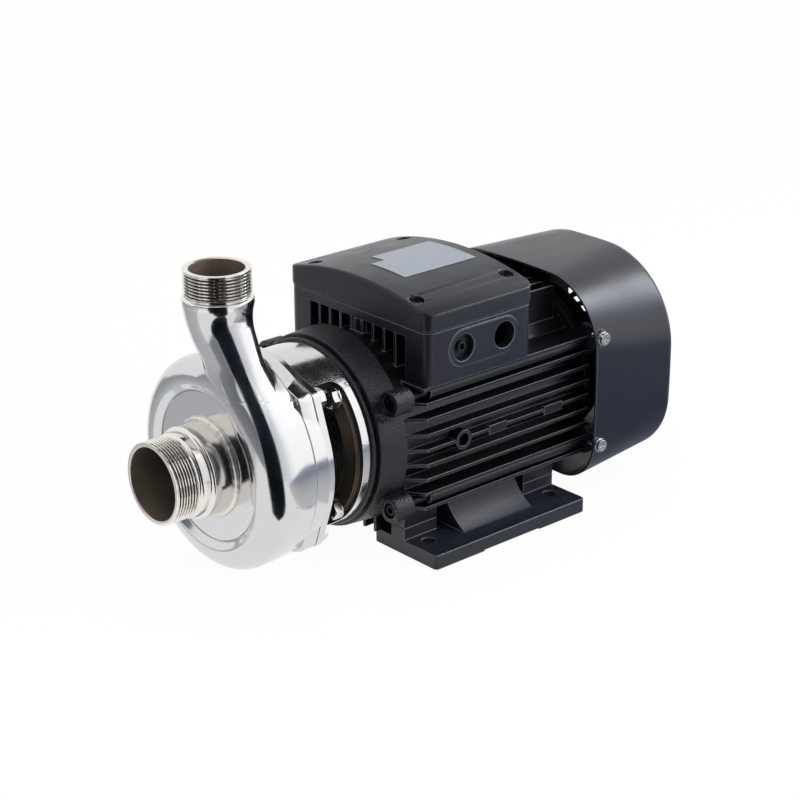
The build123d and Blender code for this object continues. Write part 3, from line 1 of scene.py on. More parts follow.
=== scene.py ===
# %% [markdown]
# # Dressing a centrifugal pump
# The pump end is polished stainless steel and the motor is painted black, so this lesson is mostly
# about two things: smooth surfaces that reflect well, and dark paints that still show their edges.
# The CAD model gives every part its size and place. Blender adds finer surfaces and the finishes.

import json
import math

import bmesh
import bpy
import numpy as np
from mathutils import Matrix, Vector


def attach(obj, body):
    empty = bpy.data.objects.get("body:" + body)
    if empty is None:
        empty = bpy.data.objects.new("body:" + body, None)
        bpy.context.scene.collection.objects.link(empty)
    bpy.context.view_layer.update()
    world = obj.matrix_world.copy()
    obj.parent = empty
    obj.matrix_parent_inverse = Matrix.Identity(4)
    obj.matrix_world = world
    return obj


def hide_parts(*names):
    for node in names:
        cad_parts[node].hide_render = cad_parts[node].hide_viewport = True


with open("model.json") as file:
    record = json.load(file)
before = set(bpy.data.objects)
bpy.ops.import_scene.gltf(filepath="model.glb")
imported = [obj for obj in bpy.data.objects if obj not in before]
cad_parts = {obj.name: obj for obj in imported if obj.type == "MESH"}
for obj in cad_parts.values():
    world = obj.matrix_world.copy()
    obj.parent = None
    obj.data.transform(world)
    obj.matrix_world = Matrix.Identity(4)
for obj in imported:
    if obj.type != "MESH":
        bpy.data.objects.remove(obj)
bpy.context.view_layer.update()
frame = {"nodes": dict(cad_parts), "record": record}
nodes = frame["nodes"]
record = frame["record"]
slot_of = {part["node"]: part["material_slot"] for part in record["subparts"]}
body_of = {
    node: body for body, members in record["behaviour"]["bodies"].items() for node in members
}

# %% [markdown]
# ## Units and small helpers
# Blender works in metres and the drawing of the pump in millimetres, so lengths are written in
# millimetres and turned once, when a mesh is made. Stations along the shaft are measured from the
# middle of the feet, and radii from the shaft line, which lies 90 mm above the mounting plane.

# %% Helpers for meshes
MM = 0.001
SHAFT_HEIGHT = 90.0
SHARP_ANGLE = math.radians(32)
FLAT_ANGLE = math.radians(0.5)
SAME_PLACE = 1e-6


def mesh_from(name, grids):
    """One mesh from grids of points in millimetres: each cell of a grid is a four-cornered face.

    Both directions close, so the last line of points joins the first. Points that fall together,
    as at a pole, are merged, and the whole is turned so that its faces look outwards.
    """
    points, faces, start = [], [], 0
    for grid in grids:
        rows, columns = grid.shape[:2]
        index = np.arange(rows * columns).reshape(rows, columns) + start
        index = np.vstack([index, index[:1]])
        index = np.hstack([index, index[:, :1]])
        cells = np.stack([index[:-1, :-1], index[1:, :-1], index[1:, 1:], index[:-1, 1:]], -1)
        points.append(grid.reshape(-1, 3))
        faces.append(cells.reshape(-1, 4))
        start += rows * columns
    mesh = bpy.data.meshes.new(name)
    mesh.from_pydata(np.concatenate(points) * MM, [], np.concatenate(faces).tolist())
    work = bmesh.new()
    work.from_mesh(mesh)
    bmesh.ops.remove_doubles(work, verts=work.verts, dist=SAME_PLACE)
    bmesh.ops.recalc_face_normals(work, faces=work.faces)
    work.to_mesh(mesh)
    work.free()
    return mesh


def piece(name, mesh, replaced, material):
    """An object from a mesh, smooth up to a sharp angle, that stands for a CAD node."""
    mesh.shade_smooth()
    mesh.set_sharp_from_angle(angle=SHARP_ANGLE)
    made = bpy.data.objects.new(name, mesh)
    bpy.context.scene.collection.objects.link(made)
    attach(made, body_of[replaced])
    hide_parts(replaced)
    mesh.materials.clear()
    mesh.materials.append(material)
    print(name, len(mesh.polygons), "faces")
    return made


def round_edges(made, width, edge_highlight):
    """Rounds a piece's sharp edges by a small width, and may paint the round paler: painted highlight.
    """
    bevel = made.modifiers.new("edge", "BEVEL")
    if edge_highlight:
        made.data.materials.append(edge_highlight)
        bevel.material = 1
    bevel.width = width * MM
    bevel.segments = 2
    bevel.limit_method = "ANGLE"
    bevel.angle_limit = SHARP_ANGLE
    bevel.use_clamp_overlap = False
    bevel.harden_normals = True


def dressed(node, material, edge, edge_highlight=None):
    """A copy of a CAD node with its triangles merged into whole faces and its edges rounded."""
    mesh = nodes[node].data.copy()
    work = bmesh.new()
    work.from_mesh(mesh)
    bmesh.ops.remove_doubles(work, verts=work.verts, dist=SAME_PLACE)
    bmesh.ops.dissolve_limit(work, angle_limit=FLAT_ANGLE, verts=work.verts, edges=work.edges)
    work.to_mesh(mesh)
    work.free()
    for name in [layer.name for layer in mesh.uv_layers]:
        mesh.uv_layers.remove(mesh.uv_layers[name])
    made = piece(node + "_finished", mesh, node, material)
    round_edges(made, edge, edge_highlight)
    return made


# %% Helpers for outlines
def rounded(corners, radius, steps=5):
    """A closed outline with every corner turned into a short curve.

    Each curve starts and ends one radius from its corner, and between them the points follow the
    quadratic curve that the corner pulls: (1-t)^2 start + 2t(1-t) corner + t^2 end.
    """
    corners = np.asarray(corners, float)
    before = np.roll(corners, 1, 0) - corners
    after = np.roll(corners, -1, 0) - corners
    length_before = np.linalg.norm(before, axis=1)
    length_after = np.linalg.norm(after, axis=1)
    setback = np.minimum(radius, 0.48 * np.minimum(length_before, length_after))
    start = corners + before * (setback / length_before)[:, None]
    end = corners + after * (setback / length_after)[:, None]
    t = np.linspace(0, 1, steps)[None, :, None]
    curve = (1 - t) ** 2 * start[:, None] + 2 * t * (1 - t) * corners[:, None] + t**2 * end[:, None]
    return curve.reshape(-1, 2)


def angles(steps):
    """Equal steps round a full turn, as a column."""
    return np.linspace(0, 2 * math.pi, steps, endpoint=False)[:, None]


def turned_x(along, radius, angle, y=0.0, z=0.0):
    """Points (along, radius cos, radius sin) about a line along X at (y, z) from the shaft."""
    along, radius, angle = np.broadcast_arrays(along, radius, angle)
    return np.stack(
        [along, y + radius * np.cos(angle), SHAFT_HEIGHT + z + radius * np.sin(angle)], -1
    )


def turned_z(along, radius, angle, x):
    """Points (radius cos, radius sin, along) about an upright line through the shaft's line at x."""
    along, radius, angle = np.broadcast_arrays(along, radius, angle)
    return np.stack([x + radius * np.cos(angle), radius * np.sin(angle), SHAFT_HEIGHT + along], -1)


# %% [markdown]
# ## Colours and materials
# A finish could be one flat colour, but a real one is never even: paint has grain, polish has a
# slow waviness and a turned part has fine rings. One helper adds a node with its settings and
# links, and each finish is a short function of its own, named for how the real surface was made or
# for the painted shade or highlight that it carries.

# %% Helpers for materials
def linear(code):
    """The linear colour of an sRGB hex code."""
    channels = [int(code[place : place + 2], 16) / 255 for place in (1, 3, 5)]
    return [c / 12.92 if c <= 0.04045 else ((c + 0.055) / 1.055) ** 2.4 for c in channels] + [1.0]


def add(tree, kind, sockets=None, **settings):
    """A node with its settings, and with each named socket set to a value or linked to an output."""
    node = tree.nodes.new(kind)
    for name, value in settings.items():
        setattr(node, name, value)
    for name, value in (sockets or {}).items():
        if isinstance(value, bpy.types.NodeSocket):
            tree.links.new(value, node.inputs[name])
        else:
            node.inputs[name].default_value = value
    return node


def plain(name, colour, metallic, roughness):
    """A material whose shader holds its own plain values, with its node tree and shader."""
    material = bpy.data.materials.new(name)
    material.use_nodes = True
    tree = material.node_tree
    shader = tree.nodes["Principled BSDF"]
    shader.inputs["Base Color"].default_value = linear(colour)
    shader.inputs["Metallic"].default_value = metallic
    shader.inputs["Roughness"].default_value = roughness
    return material, tree, shader


def grain(tree, size, stretch=(1, 1, 1), detail=3.0):
    """Noise on Object coordinates with features of a real size in millimetres."""
    place = add(tree, "ShaderNodeTexCoord")
    mapping = add(
        tree, "ShaderNodeMapping", {"Vector": place.outputs["Object"], "Scale": stretch}
    )
    return add(
        tree, "ShaderNodeTexNoise",
        {"Vector": mapping.outputs["Vector"], "Scale": 1 / (size * MM), "Detail": detail},
    )


def vary(tree, shader, socket, texture, low, high):
    """Lets a number of the shader wander between two values with a texture."""
    fac = texture.outputs["Fac"]
    span = add(
        tree, "ShaderNodeMapRange",
        {"Value": fac, "From Min": 0.3, "From Max": 0.7, "To Min": low, "To Max": high},
    )
    tree.links.new(span.outputs["Result"], shader.inputs[socket])


def shade_between(tree, shader, texture, dark, light):
    """Lets the base colour wander between two hex colours with a texture."""
    ramp = add(tree, "ShaderNodeValToRGB", {"Fac": texture.outputs["Fac"]})
    for element, place, colour in zip(ramp.color_ramp.elements, (0.35, 0.65), (dark, light)):
        element.position = place
        element.color = linear(colour)
    tree.links.new(ramp.outputs["Color"], shader.inputs["Base Color"])


def relief(tree, shader, texture, height, strength=1.0):
    """Raises the surface by a real height in millimetres where the texture is light."""
    bump = add(
        tree, "ShaderNodeBump",
        {"Height": texture.outputs["Fac"], "Distance": height * MM, "Strength": strength},
    )
    tree.links.new(bump.outputs["Normal"], shader.inputs["Normal"])


# %% [markdown]
# ### Steels of the pump end
# The casing is stainless sheet, buffed bright. Buffing leaves no grain that the eye sees, but it
# softens reflections a little, and the pressed sheet is never quite even, so they wander too: that
# is a relief of a tenth of a millimetre over waves about two centimetres long. The nipples are
# turned, so they carry fine rings round their own axis. Inside the pipes, at the thread's roots and
# inside the lantern the steel is dull, and its colour is painted darker as painted shade.

# %% Steels
def polished_steel():
    """Buffed stainless sheet: nearly white, soft reflections, slow waves from pressing."""
    material, tree, shader = plain("polished_stainless_sheet", "#d6d5d6", 1.0, 0.12)
    waves = grain(tree, 22.0, detail=1.0)
    relief(tree, shader, waves, 0.10, 0.6)
    smears = grain(tree, 9.0, detail=4.0)
    vary(tree, shader, "Roughness", smears, 0.10, 0.17)
    return material


def turned_steel(name, stretch):
    """Turned stainless: a satin grey with fine rings round the axis left by the tool."""
    material, tree, shader = plain(name, "#e8e4de", 1.0, 0.14)
    rings = grain(tree, 14.0, stretch, detail=2.0)
    relief(tree, shader, rings, 0.03, 0.5)
    vary(tree, shader, "Roughness", rings, 0.10, 0.19)
    return material


def shaded_dull_steel(name, dark, light, roughness):
    """Dull steel for hollows, its colour painted darker in blotches of two tones: painted shade."""
    material, tree, shader = plain(name, light, 0.8, roughness)
    blotches = grain(tree, 30.0, detail=2.0)
    vary(tree, shader, "Roughness", blotches, roughness - 0.05, roughness + 0.05)
    shade_between(tree, shader, blotches, dark, light)
    return material


def weld_steel():
    """A wire-brushed weld bead: bright, lumpy and a little straw coloured."""
    material, tree, shader = plain("brushed_weld_bead", "#e6e2da", 1.0, 0.36)
    lumps = grain(tree, 1.4, detail=3.0)
    relief(tree, shader, lumps, 0.25, 0.7)
    return material


def zinc_steel():
    """Bright zinc plated screw steel."""
    material, tree, shader = plain("zinc_plated_screw", "#d8d8d4", 1.0, 0.22)
    marks = grain(tree, 3.0)
    vary(tree, shader, "Roughness", marks, 0.16, 0.32)
    return material


def blackened_and_shade_steel():
    """Socket screws with a black oxide finish; on the tie rods the black stands for painted shade."""
    material, tree, shader = plain("blackened_screw_and_painted_shade", "#2c2d30", 1.0, 0.34)
    marks = grain(tree, 3.0)
    vary(tree, shader, "Roughness", marks, 0.28, 0.42)
    return material


def ground_steel():
    """Ground shaft steel."""
    material, tree, shader = plain("ground_shaft_steel", "#b9b9bb", 1.0, 0.25)
    rings = grain(tree, 14.0, (30, 1, 1))
    relief(tree, shader, rings, 0.01, 0.4)
    return material


def core_steel():
    """Stacked sheets of motor steel: fine lines across the shaft."""
    material, tree, shader = plain("stacked_motor_sheet", "#8a8a8d", 1.0, 0.42)
    sheets = grain(tree, 14.0, (28, 1, 1))
    relief(tree, shader, sheets, 0.1, 0.6)
    return material


# %% [markdown]
# ### Black paints and plastics
# Five black paints sit side by side on the motor and differ mostly in texture. The cast shield is
# rough under its paint, the extruded frame shows faint lines along its length, the die-cast feet
# and terminal box are smooth and satin, and the pressed fan cover is the smoothest of all. Most
# rounded edges get a paler paint of their own, as a painted highlight.

# %% Paints and plastics
def cast_paint():
    """Black paint on a rough sand casting: coarse grain of one and a half millimetres."""
    material, tree, shader = plain("painted_rough_casting", "#0e1116", 0.0, 0.34)
    bumps = grain(tree, 1.5, detail=3.0)
    relief(tree, shader, bumps, 0.7, 1.0)
    vary(tree, shader, "Roughness", bumps, 0.28, 0.45)
    return material


def extrusion_paint():
    """Black satin paint on an aluminium extrusion, with faint draw lines along the shaft."""
    material, tree, shader = plain("painted_aluminium_extrusion", "#07080a", 0.0, 0.34)
    lines = grain(tree, 10.0, (0.05, 6, 6))
    relief(tree, shader, lines, 0.04, 0.5)
    return material


def foot_paint():
    """Satin black paint on the die-cast feet, a little duller than on the box."""
    material, tree, shader = plain("painted_diecast_foot", "#171b25", 0.0, 0.4)
    specks = grain(tree, 0.9)
    relief(tree, shader, specks, 0.05, 0.5)
    return material


def box_paint():
    """Satin black paint on the die-cast terminal box."""
    material, tree, shader = plain("painted_diecast_box", "#11151e", 0.0, 0.34)
    specks = grain(tree, 1.1)
    relief(tree, shader, specks, 0.04, 0.5)
    clouds = grain(tree, 18.0)
    vary(tree, shader, "Roughness", clouds, 0.3, 0.4)
    return material


def cover_paint():
    """Smooth satin black paint on the pressed fan cover."""
    material, tree, shader = plain("painted_pressed_sheet", "#10141f", 0.0, 0.28)
    clouds = grain(tree, 40.0)
    vary(tree, shader, "Roughness", clouds, 0.27, 0.34)
    return material


def edge_highlight_paint(name, colour):
    """A paler paint for the rounds on edges: painted highlight, with patches of roughness."""
    material, tree, shader = plain(name, colour, 0.0, 0.3)
    patches = grain(tree, 5.0)
    vary(tree, shader, "Roughness", patches, 0.22, 0.4)
    return material


def moulded(name, colour, roughness):
    """A moulded plastic or rubber with a fine moulded grain."""
    material, tree, shader = plain(name, colour, 0.0, roughness)
    specks = grain(tree, 0.8)
    relief(tree, shader, specks, 0.03, 0.5)
    return material


def metal(name, colour, roughness):
    """A bare metal with a little unevenness in its shine."""
    material, tree, shader = plain(name, colour, 1.0, roughness)
    marks = grain(tree, 4.0)
    vary(tree, shader, "Roughness", marks, roughness - 0.05, roughness + 0.08)
    return material


def label_foil():
    """Printed aluminium foil without any print: pale grey with a soft sheen."""
    material, tree, shader = plain("bare_label_foil", "#9ba1ac", 0.35, 0.42)
    brushed = grain(tree, 6.0, (0.3, 8, 8))
    vary(tree, shader, "Roughness", brushed, 0.36, 0.5)
    return material


finishes = {
    "polished_steel": polished_steel(),
    "satin_steel": turned_steel("turned_stainless_pipe", (24, 1, 1)),
    "weld_steel": weld_steel(),
    "screw_steel": zinc_steel(),
    "shaft_steel": ground_steel(),
    "cast_shield": cast_paint(),
    "frame_paint": extrusion_paint(),
    "foot_paint": foot_paint(),
    "box_paint": box_paint(),
    "cover_paint": cover_paint(),
    "black_rubber": moulded("moulded_rubber", "#141414", 0.6),
    "carbon": moulded("pressed_carbon", "#26272a", 0.35),
    "ceramic": moulded("fired_ceramic", "#e6dfd0", 0.25),
    "core_steel": core_steel(),
    "copper": metal("enamelled_copper", "#b5673a", 0.3),
    "brass": metal("turned_brass", "#c9a55a", 0.28),
    "cast_aluminium": metal("cast_aluminium", "#b9bbbe", 0.45),
    "fan_plastic": moulded("moulded_fan_plastic", "#1a1b1d", 0.45),
    "board_plastic": moulded("moulded_board", "#2b211c", 0.45),
    "cage_plastic": moulded("moulded_cage", "#3d5f3f", 0.5),
    "lead_cover": moulded("lead_insulation", "#7c2a24", 0.5),
    "plug_plastic": moulded("moulded_plug", "#121316", 0.3),
    "label_foil": label_foil(),
}
upright_steel = turned_steel("turned_stainless_riser", (1, 1, 24))
for name, node in nodes.items():
    node.data.materials.clear()
    node.data.materials.append(finishes[slot_of[name]])
print(len(finishes), "finishes")

# %% [markdown]
# ## The casing
# The real casing is drawn from sheet, so its outside is one soft form: a flat ring round the eye,
# a full round crest and a slow taper to the flange. It is a body of revolution, so one outline of
# station and radius, carried round the shaft, gives it exactly. The outline is closed: it runs down
# the outside, through the suction bore and back along the inside of the wall.

# %% Casing outline
JOINT = -158.4
FLANGE_THICKNESS = 12.4
FLANGE_FRONT = JOINT - FLANGE_THICKNESS
GROOVE_DEPTH = 0.75
GROOVE_WIDTH = 0.35
WALL = 3.0
VOLUTE_MIDDLE = -192.7
CREST_STATION = -194.7
CREST_RADIUS = 78.5
CREST_ROUND = 16.0
RING_RADIUS = CREST_RADIUS - CREST_ROUND
SHOULDER_FALL = 3.5
EYE_FLOOR = -206.7
SUCTION_BORE = 26.3


def shoulder_radius(station):
    """The outside radius behind the crest: crest - fall * (share of the way back)^1.7."""
    share = np.clip((station - CREST_STATION) / (JOINT - CREST_STATION), 0, 1)
    return CREST_RADIUS - SHOULDER_FALL * share**1.7


def casing_outline():
    """The closed outline of the casing wall as (station, radius), and how many points lie outside.

    The shoulder meets the round crest without a crease. Two fine grooves are cut in: one in front
    of the flange, depth e^-(distance / width)^2, and one where the pressed eye floor meets its
    slope. Of that slope, the curves at its second and third corner are kept.
    """
    near_flange = np.linspace(FLANGE_FRONT - 1, FLANGE_FRONT + 1, 21)
    station = np.concatenate([np.linspace(JOINT, CREST_STATION, 60), near_flange])
    station = np.sort(station)[::-1]
    cut = GROOVE_DEPTH * np.exp(-(((station - FLANGE_FRONT) / GROOVE_WIDTH) ** 2))
    shoulder = np.stack([station, shoulder_radius(station) - cut], 1)
    turn = np.radians(np.linspace(90, 180, 40))[1:]
    crest = np.stack([
        CREST_STATION + CREST_ROUND * np.cos(turn), RING_RADIUS + CREST_ROUND * np.sin(turn),
    ], 1)
    slope = rounded([
        (-212, 70), (-210.5, 60.4), (-207.0, 55.6), (EYE_FLOOR, 54.0), (EYE_FLOOR, SUCTION_BORE),
    ], 1.4)
    groove = [(EYE_FLOOR, 55.2), (-205.9, 55.0), (-206.0, 54.5), (EYE_FLOOR, 54.2)]
    inside = np.array([
        (EYE_FLOOR, SUCTION_BORE), (EYE_FLOOR + WALL, SUCTION_BORE), (EYE_FLOOR + WALL, 55.3),
        (-207.3, 60.0), (-207.7, RING_RADIUS), (-203.9, 71.69), (-194.7, 75.5), (-192.7, 75.5),
        (-183.5, 71.7), (-179.7, RING_RADIUS), (JOINT, RING_RADIUS),
    ])
    return np.vstack([shoulder, crest, slope[5:15], groove, inside]), len(shoulder) + len(crest)


print(len(casing_outline()[0]), "points in the casing's outline")

# %% [markdown]
# ## The discharge neck
# The neck is a tube that starts upright under the nipple, leans across to the near side and runs
# into the volute ring, narrowing on the way. It is a circle carried along a bent line: two corners
# turned into arcs, with a radius that falls along the way. Its wall is a second circle inside the
# first, carried back the other way, so the tube is closed at both ends.

# %% Neck line
NECK_TOP = 118.2
NECK_CORNERS = [(0, NECK_TOP), (0, 103), (-61.5, 17), (-61.5, -10)]
NECK_TURNS = (42.0, 75.0)
NECK_SHARES = [0, 0.05, 0.1, 0.2, 0.25, 0.4, 0.5, 0.6, 0.7, 0.8, 0.9, 1.0]
NECK_RADII = [25.2, 24.0, 22.6, 20.9, 20.0, 17.7, 16.8, 16.2, 15.9, 15.8, 16.1, 16.6]


def bent_line(corners, radii, steps=60):
    """A line through points in (y, z) whose inner corners are arcs that touch both runs."""
    points = [np.array(corner, float) for corner in corners]
    line = [points[0]]
    for before, corner, after, radius in zip(points, points[1:], points[2:], radii):
        back = (before - corner) / np.linalg.norm(before - corner)
        on = (after - corner) / np.linalg.norm(after - corner)
        half = math.acos(np.dot(back, on)) / 2
        centre = corner + (back + on) / np.linalg.norm(back + on) * radius / math.sin(half)
        first = corner + back * radius / math.tan(half)
        last = corner + on * radius / math.tan(half)
        share = np.linspace(0, 1, steps)[:, None]
        chord = first + (last - first) * share - centre
        line.append(centre + radius * chord / np.linalg.norm(chord, axis=1)[:, None])
    line.append(points[-1])
    return np.vstack(line)


def neck_line(rows=180):
    """The neck's middle line in (y, z), the direction across it and its outer radius.

    The radius is a smooth curve of the fifth degree, fitted to the widths along the way.
    """
    line = bent_line(NECK_CORNERS, NECK_TURNS)
    run = np.concatenate([[0], np.cumsum(np.linalg.norm(np.diff(line, axis=0), axis=1))])
    share = np.linspace(0, 1, rows)
    y = np.interp(share * run[-1], run, line[:, 0])
    z = np.interp(share * run[-1], run, line[:, 1])
    slope_y, slope_z = np.gradient(y), np.gradient(z)
    size = np.hypot(slope_y, slope_z)
    outer = np.polyval(np.polyfit(NECK_SHARES, NECK_RADII, 5), share)
    return y, z, -slope_z / size, slope_y / size, outer


neck = neck_line()
print(len(neck[0]), "circles along the neck")

# %% [markdown]
# ## Where neck and ring meet
# On the real casing the neck runs into the ring in a soft valley. Two surfaces that only cross
# would leave a crease, and cutting and filleting them leaves ragged faces that spoil a reflection.
# So each surface is worked out with the other in mind: where it comes near the other, it swells
# along the direction that it faces. A swelling of (reach - distance)^2 / (4 reach) makes the two
# meet nearly without a crease.

# %% Neck and ring
VALLEY_REACH = 11.0
RISER_BORE = 19.4
NECK_FOOT_BORE = 13.6
NECK_WALL = 2.2


def swelling(distance):
    """How far a surface swells at a distance from the other, and nothing beyond the reach."""
    return np.clip(VALLEY_REACH - np.abs(distance), 0, None) ** 2 / (4 * VALLEY_REACH)


def neck_grid(neck, steps=128):
    """The neck: outer circles from top to foot, then inner circles from foot to top."""
    y, z, across_y, across_z, outer = neck
    rows = len(y)
    inner = np.minimum(np.linspace(RISER_BORE, NECK_FOOT_BORE, rows), outer - NECK_WALL)
    order = np.concatenate([np.arange(rows), np.arange(rows)[::-1]])
    radius = np.concatenate([outer, inner[::-1]])[:, None]
    angle = angles(steps).T

    def places(radius):
        out = radius * np.cos(angle)
        return (
            VOLUTE_MIDDLE + radius * np.sin(angle),
            y[order, None] + out * across_y[order, None],
            z[order, None] + out * across_z[order, None],
        )

    station, point_y, point_z = places(radius)
    from_shaft = np.hypot(point_y, point_z)
    from_ring = np.where(
        station < CREST_STATION,
        np.hypot(station - CREST_STATION, from_shaft - RING_RADIUS) - CREST_ROUND,
        from_shaft - shoulder_radius(station),
    )
    is_outer = np.arange(2 * rows)[:, None] < rows
    station, point_y, point_z = places(radius + np.where(is_outer, swelling(from_ring), 0))
    return np.stack([station, point_y, SHAFT_HEIGHT + point_z], -1)


def casing_grid(neck, steps=384):
    """The casing wall, its outside swollen near the neck along the direction it faces.

    A point's distance from the neck is the least of its distances from the middle line, each less
    the neck's radius there.
    """
    outline, outside = casing_outline()
    station, radius = outline.T
    facing = np.arctan2(radius - RING_RADIUS, station - CREST_STATION)
    facing = np.where(station > CREST_STATION, math.pi / 2, facing)
    angle = angles(steps)
    y, z, _, _, outer = neck
    swell = np.zeros((steps, len(station)))
    for column in range(outside):
        gaps = np.sqrt(
            (station[column] - VOLUTE_MIDDLE) ** 2
            + (radius[column] * np.cos(angle) - y) ** 2
            + (radius[column] * np.sin(angle) - z) ** 2
        )
        swell[:, column] = swelling((gaps - outer).min(axis=1))
    return turned_x(station + swell * np.cos(facing), radius + swell * np.sin(facing), angle)


polished = finishes["polished_steel"]
piece("casing_body", mesh_from("casing_body", [casing_grid(neck)]), "volute_casing", polished)
piece("casing_neck", mesh_from("casing_neck", [neck_grid(neck)]), "volute_casing", polished)

# %% [markdown]
# ## A flange with four lugs
# The casing ends in a flange: a disc drawn out by straight sides to four lugs on the diagonals. A
# convex outline like this has a handy form, its support function: for each direction, how far the
# shape reaches. The reach is the larger of the disc's radius and each lug's, and taking a little off
# it everywhere draws the edge in evenly, which rounds it. A second, slimmer ring of the same form
# lies in front, sunk in the casing's skin, so that only its lugs show, as four short spines.

# %% Flange
LUG_CIRCLE = 71.0
LUG_RADIUS = 9.5
FLANGE_RADIUS = 73.5
JOINT_GAP = 0.15


def lugged_grid(disc, lug, start, end, bore, edge, steps=720):
    """A ring with the lugged outline between two stations, bored through, its edges rounded.

    The outline point for direction a is reach(a) along the direction plus reach'(a) across it. Of
    the profile, the curves at its two outer corners are kept.
    """
    angle = angles(steps)
    from_lug = angle % (math.pi / 2) - math.pi / 4
    at_lug = LUG_CIRCLE * np.cos(from_lug) + lug > disc
    reach = np.where(at_lug, LUG_CIRCLE * np.cos(from_lug) + lug, disc)
    slide = np.where(at_lug, -LUG_CIRCLE * np.sin(from_lug), 0.0)
    profile = rounded([(start, 9.0), (start, 0.0), (end, 0.0), (end, 9.0)], [0, edge, edge, 0])
    along, inset = profile[5:15].T
    out = reach - inset[None, :]
    y = out * np.cos(angle) - slide * np.sin(angle)
    z = out * np.sin(angle) + slide * np.cos(angle)
    hole = np.broadcast_to(np.array([end, start]), (steps, 2))
    y = np.hstack([y, bore * np.cos(angle), bore * np.cos(angle)])
    z = np.hstack([z, bore * np.sin(angle), bore * np.sin(angle)])
    x = np.hstack([np.broadcast_to(along, (steps, len(along))), hole])
    return np.stack([x, y, SHAFT_HEIGHT + z], -1)


flange = mesh_from("casing_flange", [
    lugged_grid(
        FLANGE_RADIUS, LUG_RADIUS, FLANGE_FRONT, JOINT - JOINT_GAP, bore=RING_RADIUS, edge=1.0
    ),
    lugged_grid(disc=70.5, lug=6.8, start=JOINT - 24.4, end=JOINT - 12.0, bore=66.0, edge=3.5),
])
piece("casing_flange", flange, "volute_casing", polished)

# %% [markdown]
# ## Pipe nipples
# Both nipples carry a pipe thread, eleven turns to the inch. A stack of rings would nearly do, but
# a real thread climbs, and its run-out shows at the end. So the radius depends on two things at
# once, how far along and how far round: a trapezoid tooth that repeats each pitch and shifts by one
# pitch per turn, and that fades in at the mouth and out at the collar. Inside the bores and at the
# roots of the thread the faces get a duller steel whose colour is painted darker, as painted shade.

# %% Nipples
THREAD_PITCH = 2.309
THREAD_DEPTH = 1.5
THREAD_TURNS = 8
ROOT_DEPTHS = (0.85, 1.9)
SUCTION_FACE = -254.0
SUCTION_CREST = 29.8
SUCTION_ROOTS = (-253.5, -235.8)
RISER_TOP = 143.0
RISER_CREST = 23.9
RISER_ROOTS = (124.8, 142.5)


def thread(face, crest, angle, per_turn=14):
    """Stations and radii of a climbing thread: rows round the axis, columns along it.

    The tooth is 2.2 |2 phase - 1| - 0.6, held between nothing and one. It fades in over half a
    turn at the mouth and out over the last 0.8 of a turn.
    """
    turn = np.linspace(0, 1, THREAD_TURNS * per_turn + 1)[None, :] * THREAD_TURNS
    along = face + turn * THREAD_PITCH
    phase = (turn - angle / (2 * math.pi)) % 1.0
    tooth = np.clip(2.2 * np.abs(2 * phase - 1) - 0.6, 0, 1)
    fade = np.clip((THREAD_TURNS - turn) / 0.8, 0, 1) * np.clip(turn / 0.5, 0, 1)
    radius = crest - THREAD_DEPTH * (1 - tooth * fade)
    radius = np.where(turn < 0.3, crest - 0.2, radius)
    run_out = np.maximum(radius, crest - THREAD_DEPTH * 0.9)
    radius = np.where(turn > THREAD_TURNS - 0.8, run_out, radius)
    return np.broadcast_to(along, radius.shape), radius


def with_outline(face, crest, rest, angle):
    """The threaded part followed by the rest of a closed outline, for every angle."""
    along, radius = thread(face, crest, angle)
    rows = (len(angle), len(rest))
    return (
        np.hstack([along, np.broadcast_to(rest[:, 0], rows)]),
        np.hstack([radius, np.broadcast_to(rest[:, 1], rows)]),
    )


def paint_bore_shade(made, across, middle, radius, material, threaded=None):
    """Gives the faces inside a radius, measured across the pipe, a second material: painted shade.

    The thread's roots, the deep faces between two places along an axis, may get a third, also
    painted shade.
    """
    mesh = made.data
    centres = np.empty(len(mesh.polygons) * 3)
    mesh.polygons.foreach_get("center", centres)
    centres = centres.reshape(-1, 3) / MM
    away = np.hypot(*(centres[:, across] - middle).T)
    mesh.materials.append(material)
    chosen = (away < radius).astype(np.int32)
    if threaded:
        axis, first, last, crest = threaded
        mesh.materials.append(thread_root_shade)
        along = centres[:, axis]
        deep = (away < crest - ROOT_DEPTHS[0]) & (away > crest - ROOT_DEPTHS[1])
        chosen[(along > first) & (along < last) & deep] = 2
    mesh.polygons.foreach_set("material_index", chosen)


# Darker, browner steels inside the pipes and at the thread's roots: painted shade.
bore_shade = shaded_dull_steel("painted_shade_pipe_bore", "#82746a", "#978a7e", 0.48)
thread_root_shade = shaded_dull_steel("painted_shade_thread_root", "#5c5751", "#77716a", 0.4)
turn = angles(256)
boss = rounded([
    (-236.2, 28.9), (-234.3, 28.9), (-233.2, 30.6), (-228.5, 31.0), (-226.6, 31.2), (-225.4, 33.5),
    (-206.4, 33.5), (-206.4, SUCTION_BORE), (-253.4, SUCTION_BORE), (SUCTION_FACE, 26.8),
    (SUCTION_FACE, 29.2),
], [0.3, 1, 1, 1, 1.2, 1.2, 0.2, 0.2, 0.2, 0.3, 0.2], 4)
along, radius = with_outline(SUCTION_FACE + 0.3, SUCTION_CREST, boss, turn)
suction = mesh_from("suction_pipe", [turned_x(along, radius, turn)])
suction_pipe = piece("suction_pipe", suction, "suction_nipple", finishes["satin_steel"])
paint_bore_shade(
    suction_pipe, [1, 2], (0, SHAFT_HEIGHT), SUCTION_BORE + 0.3, bore_shade,
    (0, *SUCTION_ROOTS, SUCTION_CREST),
)

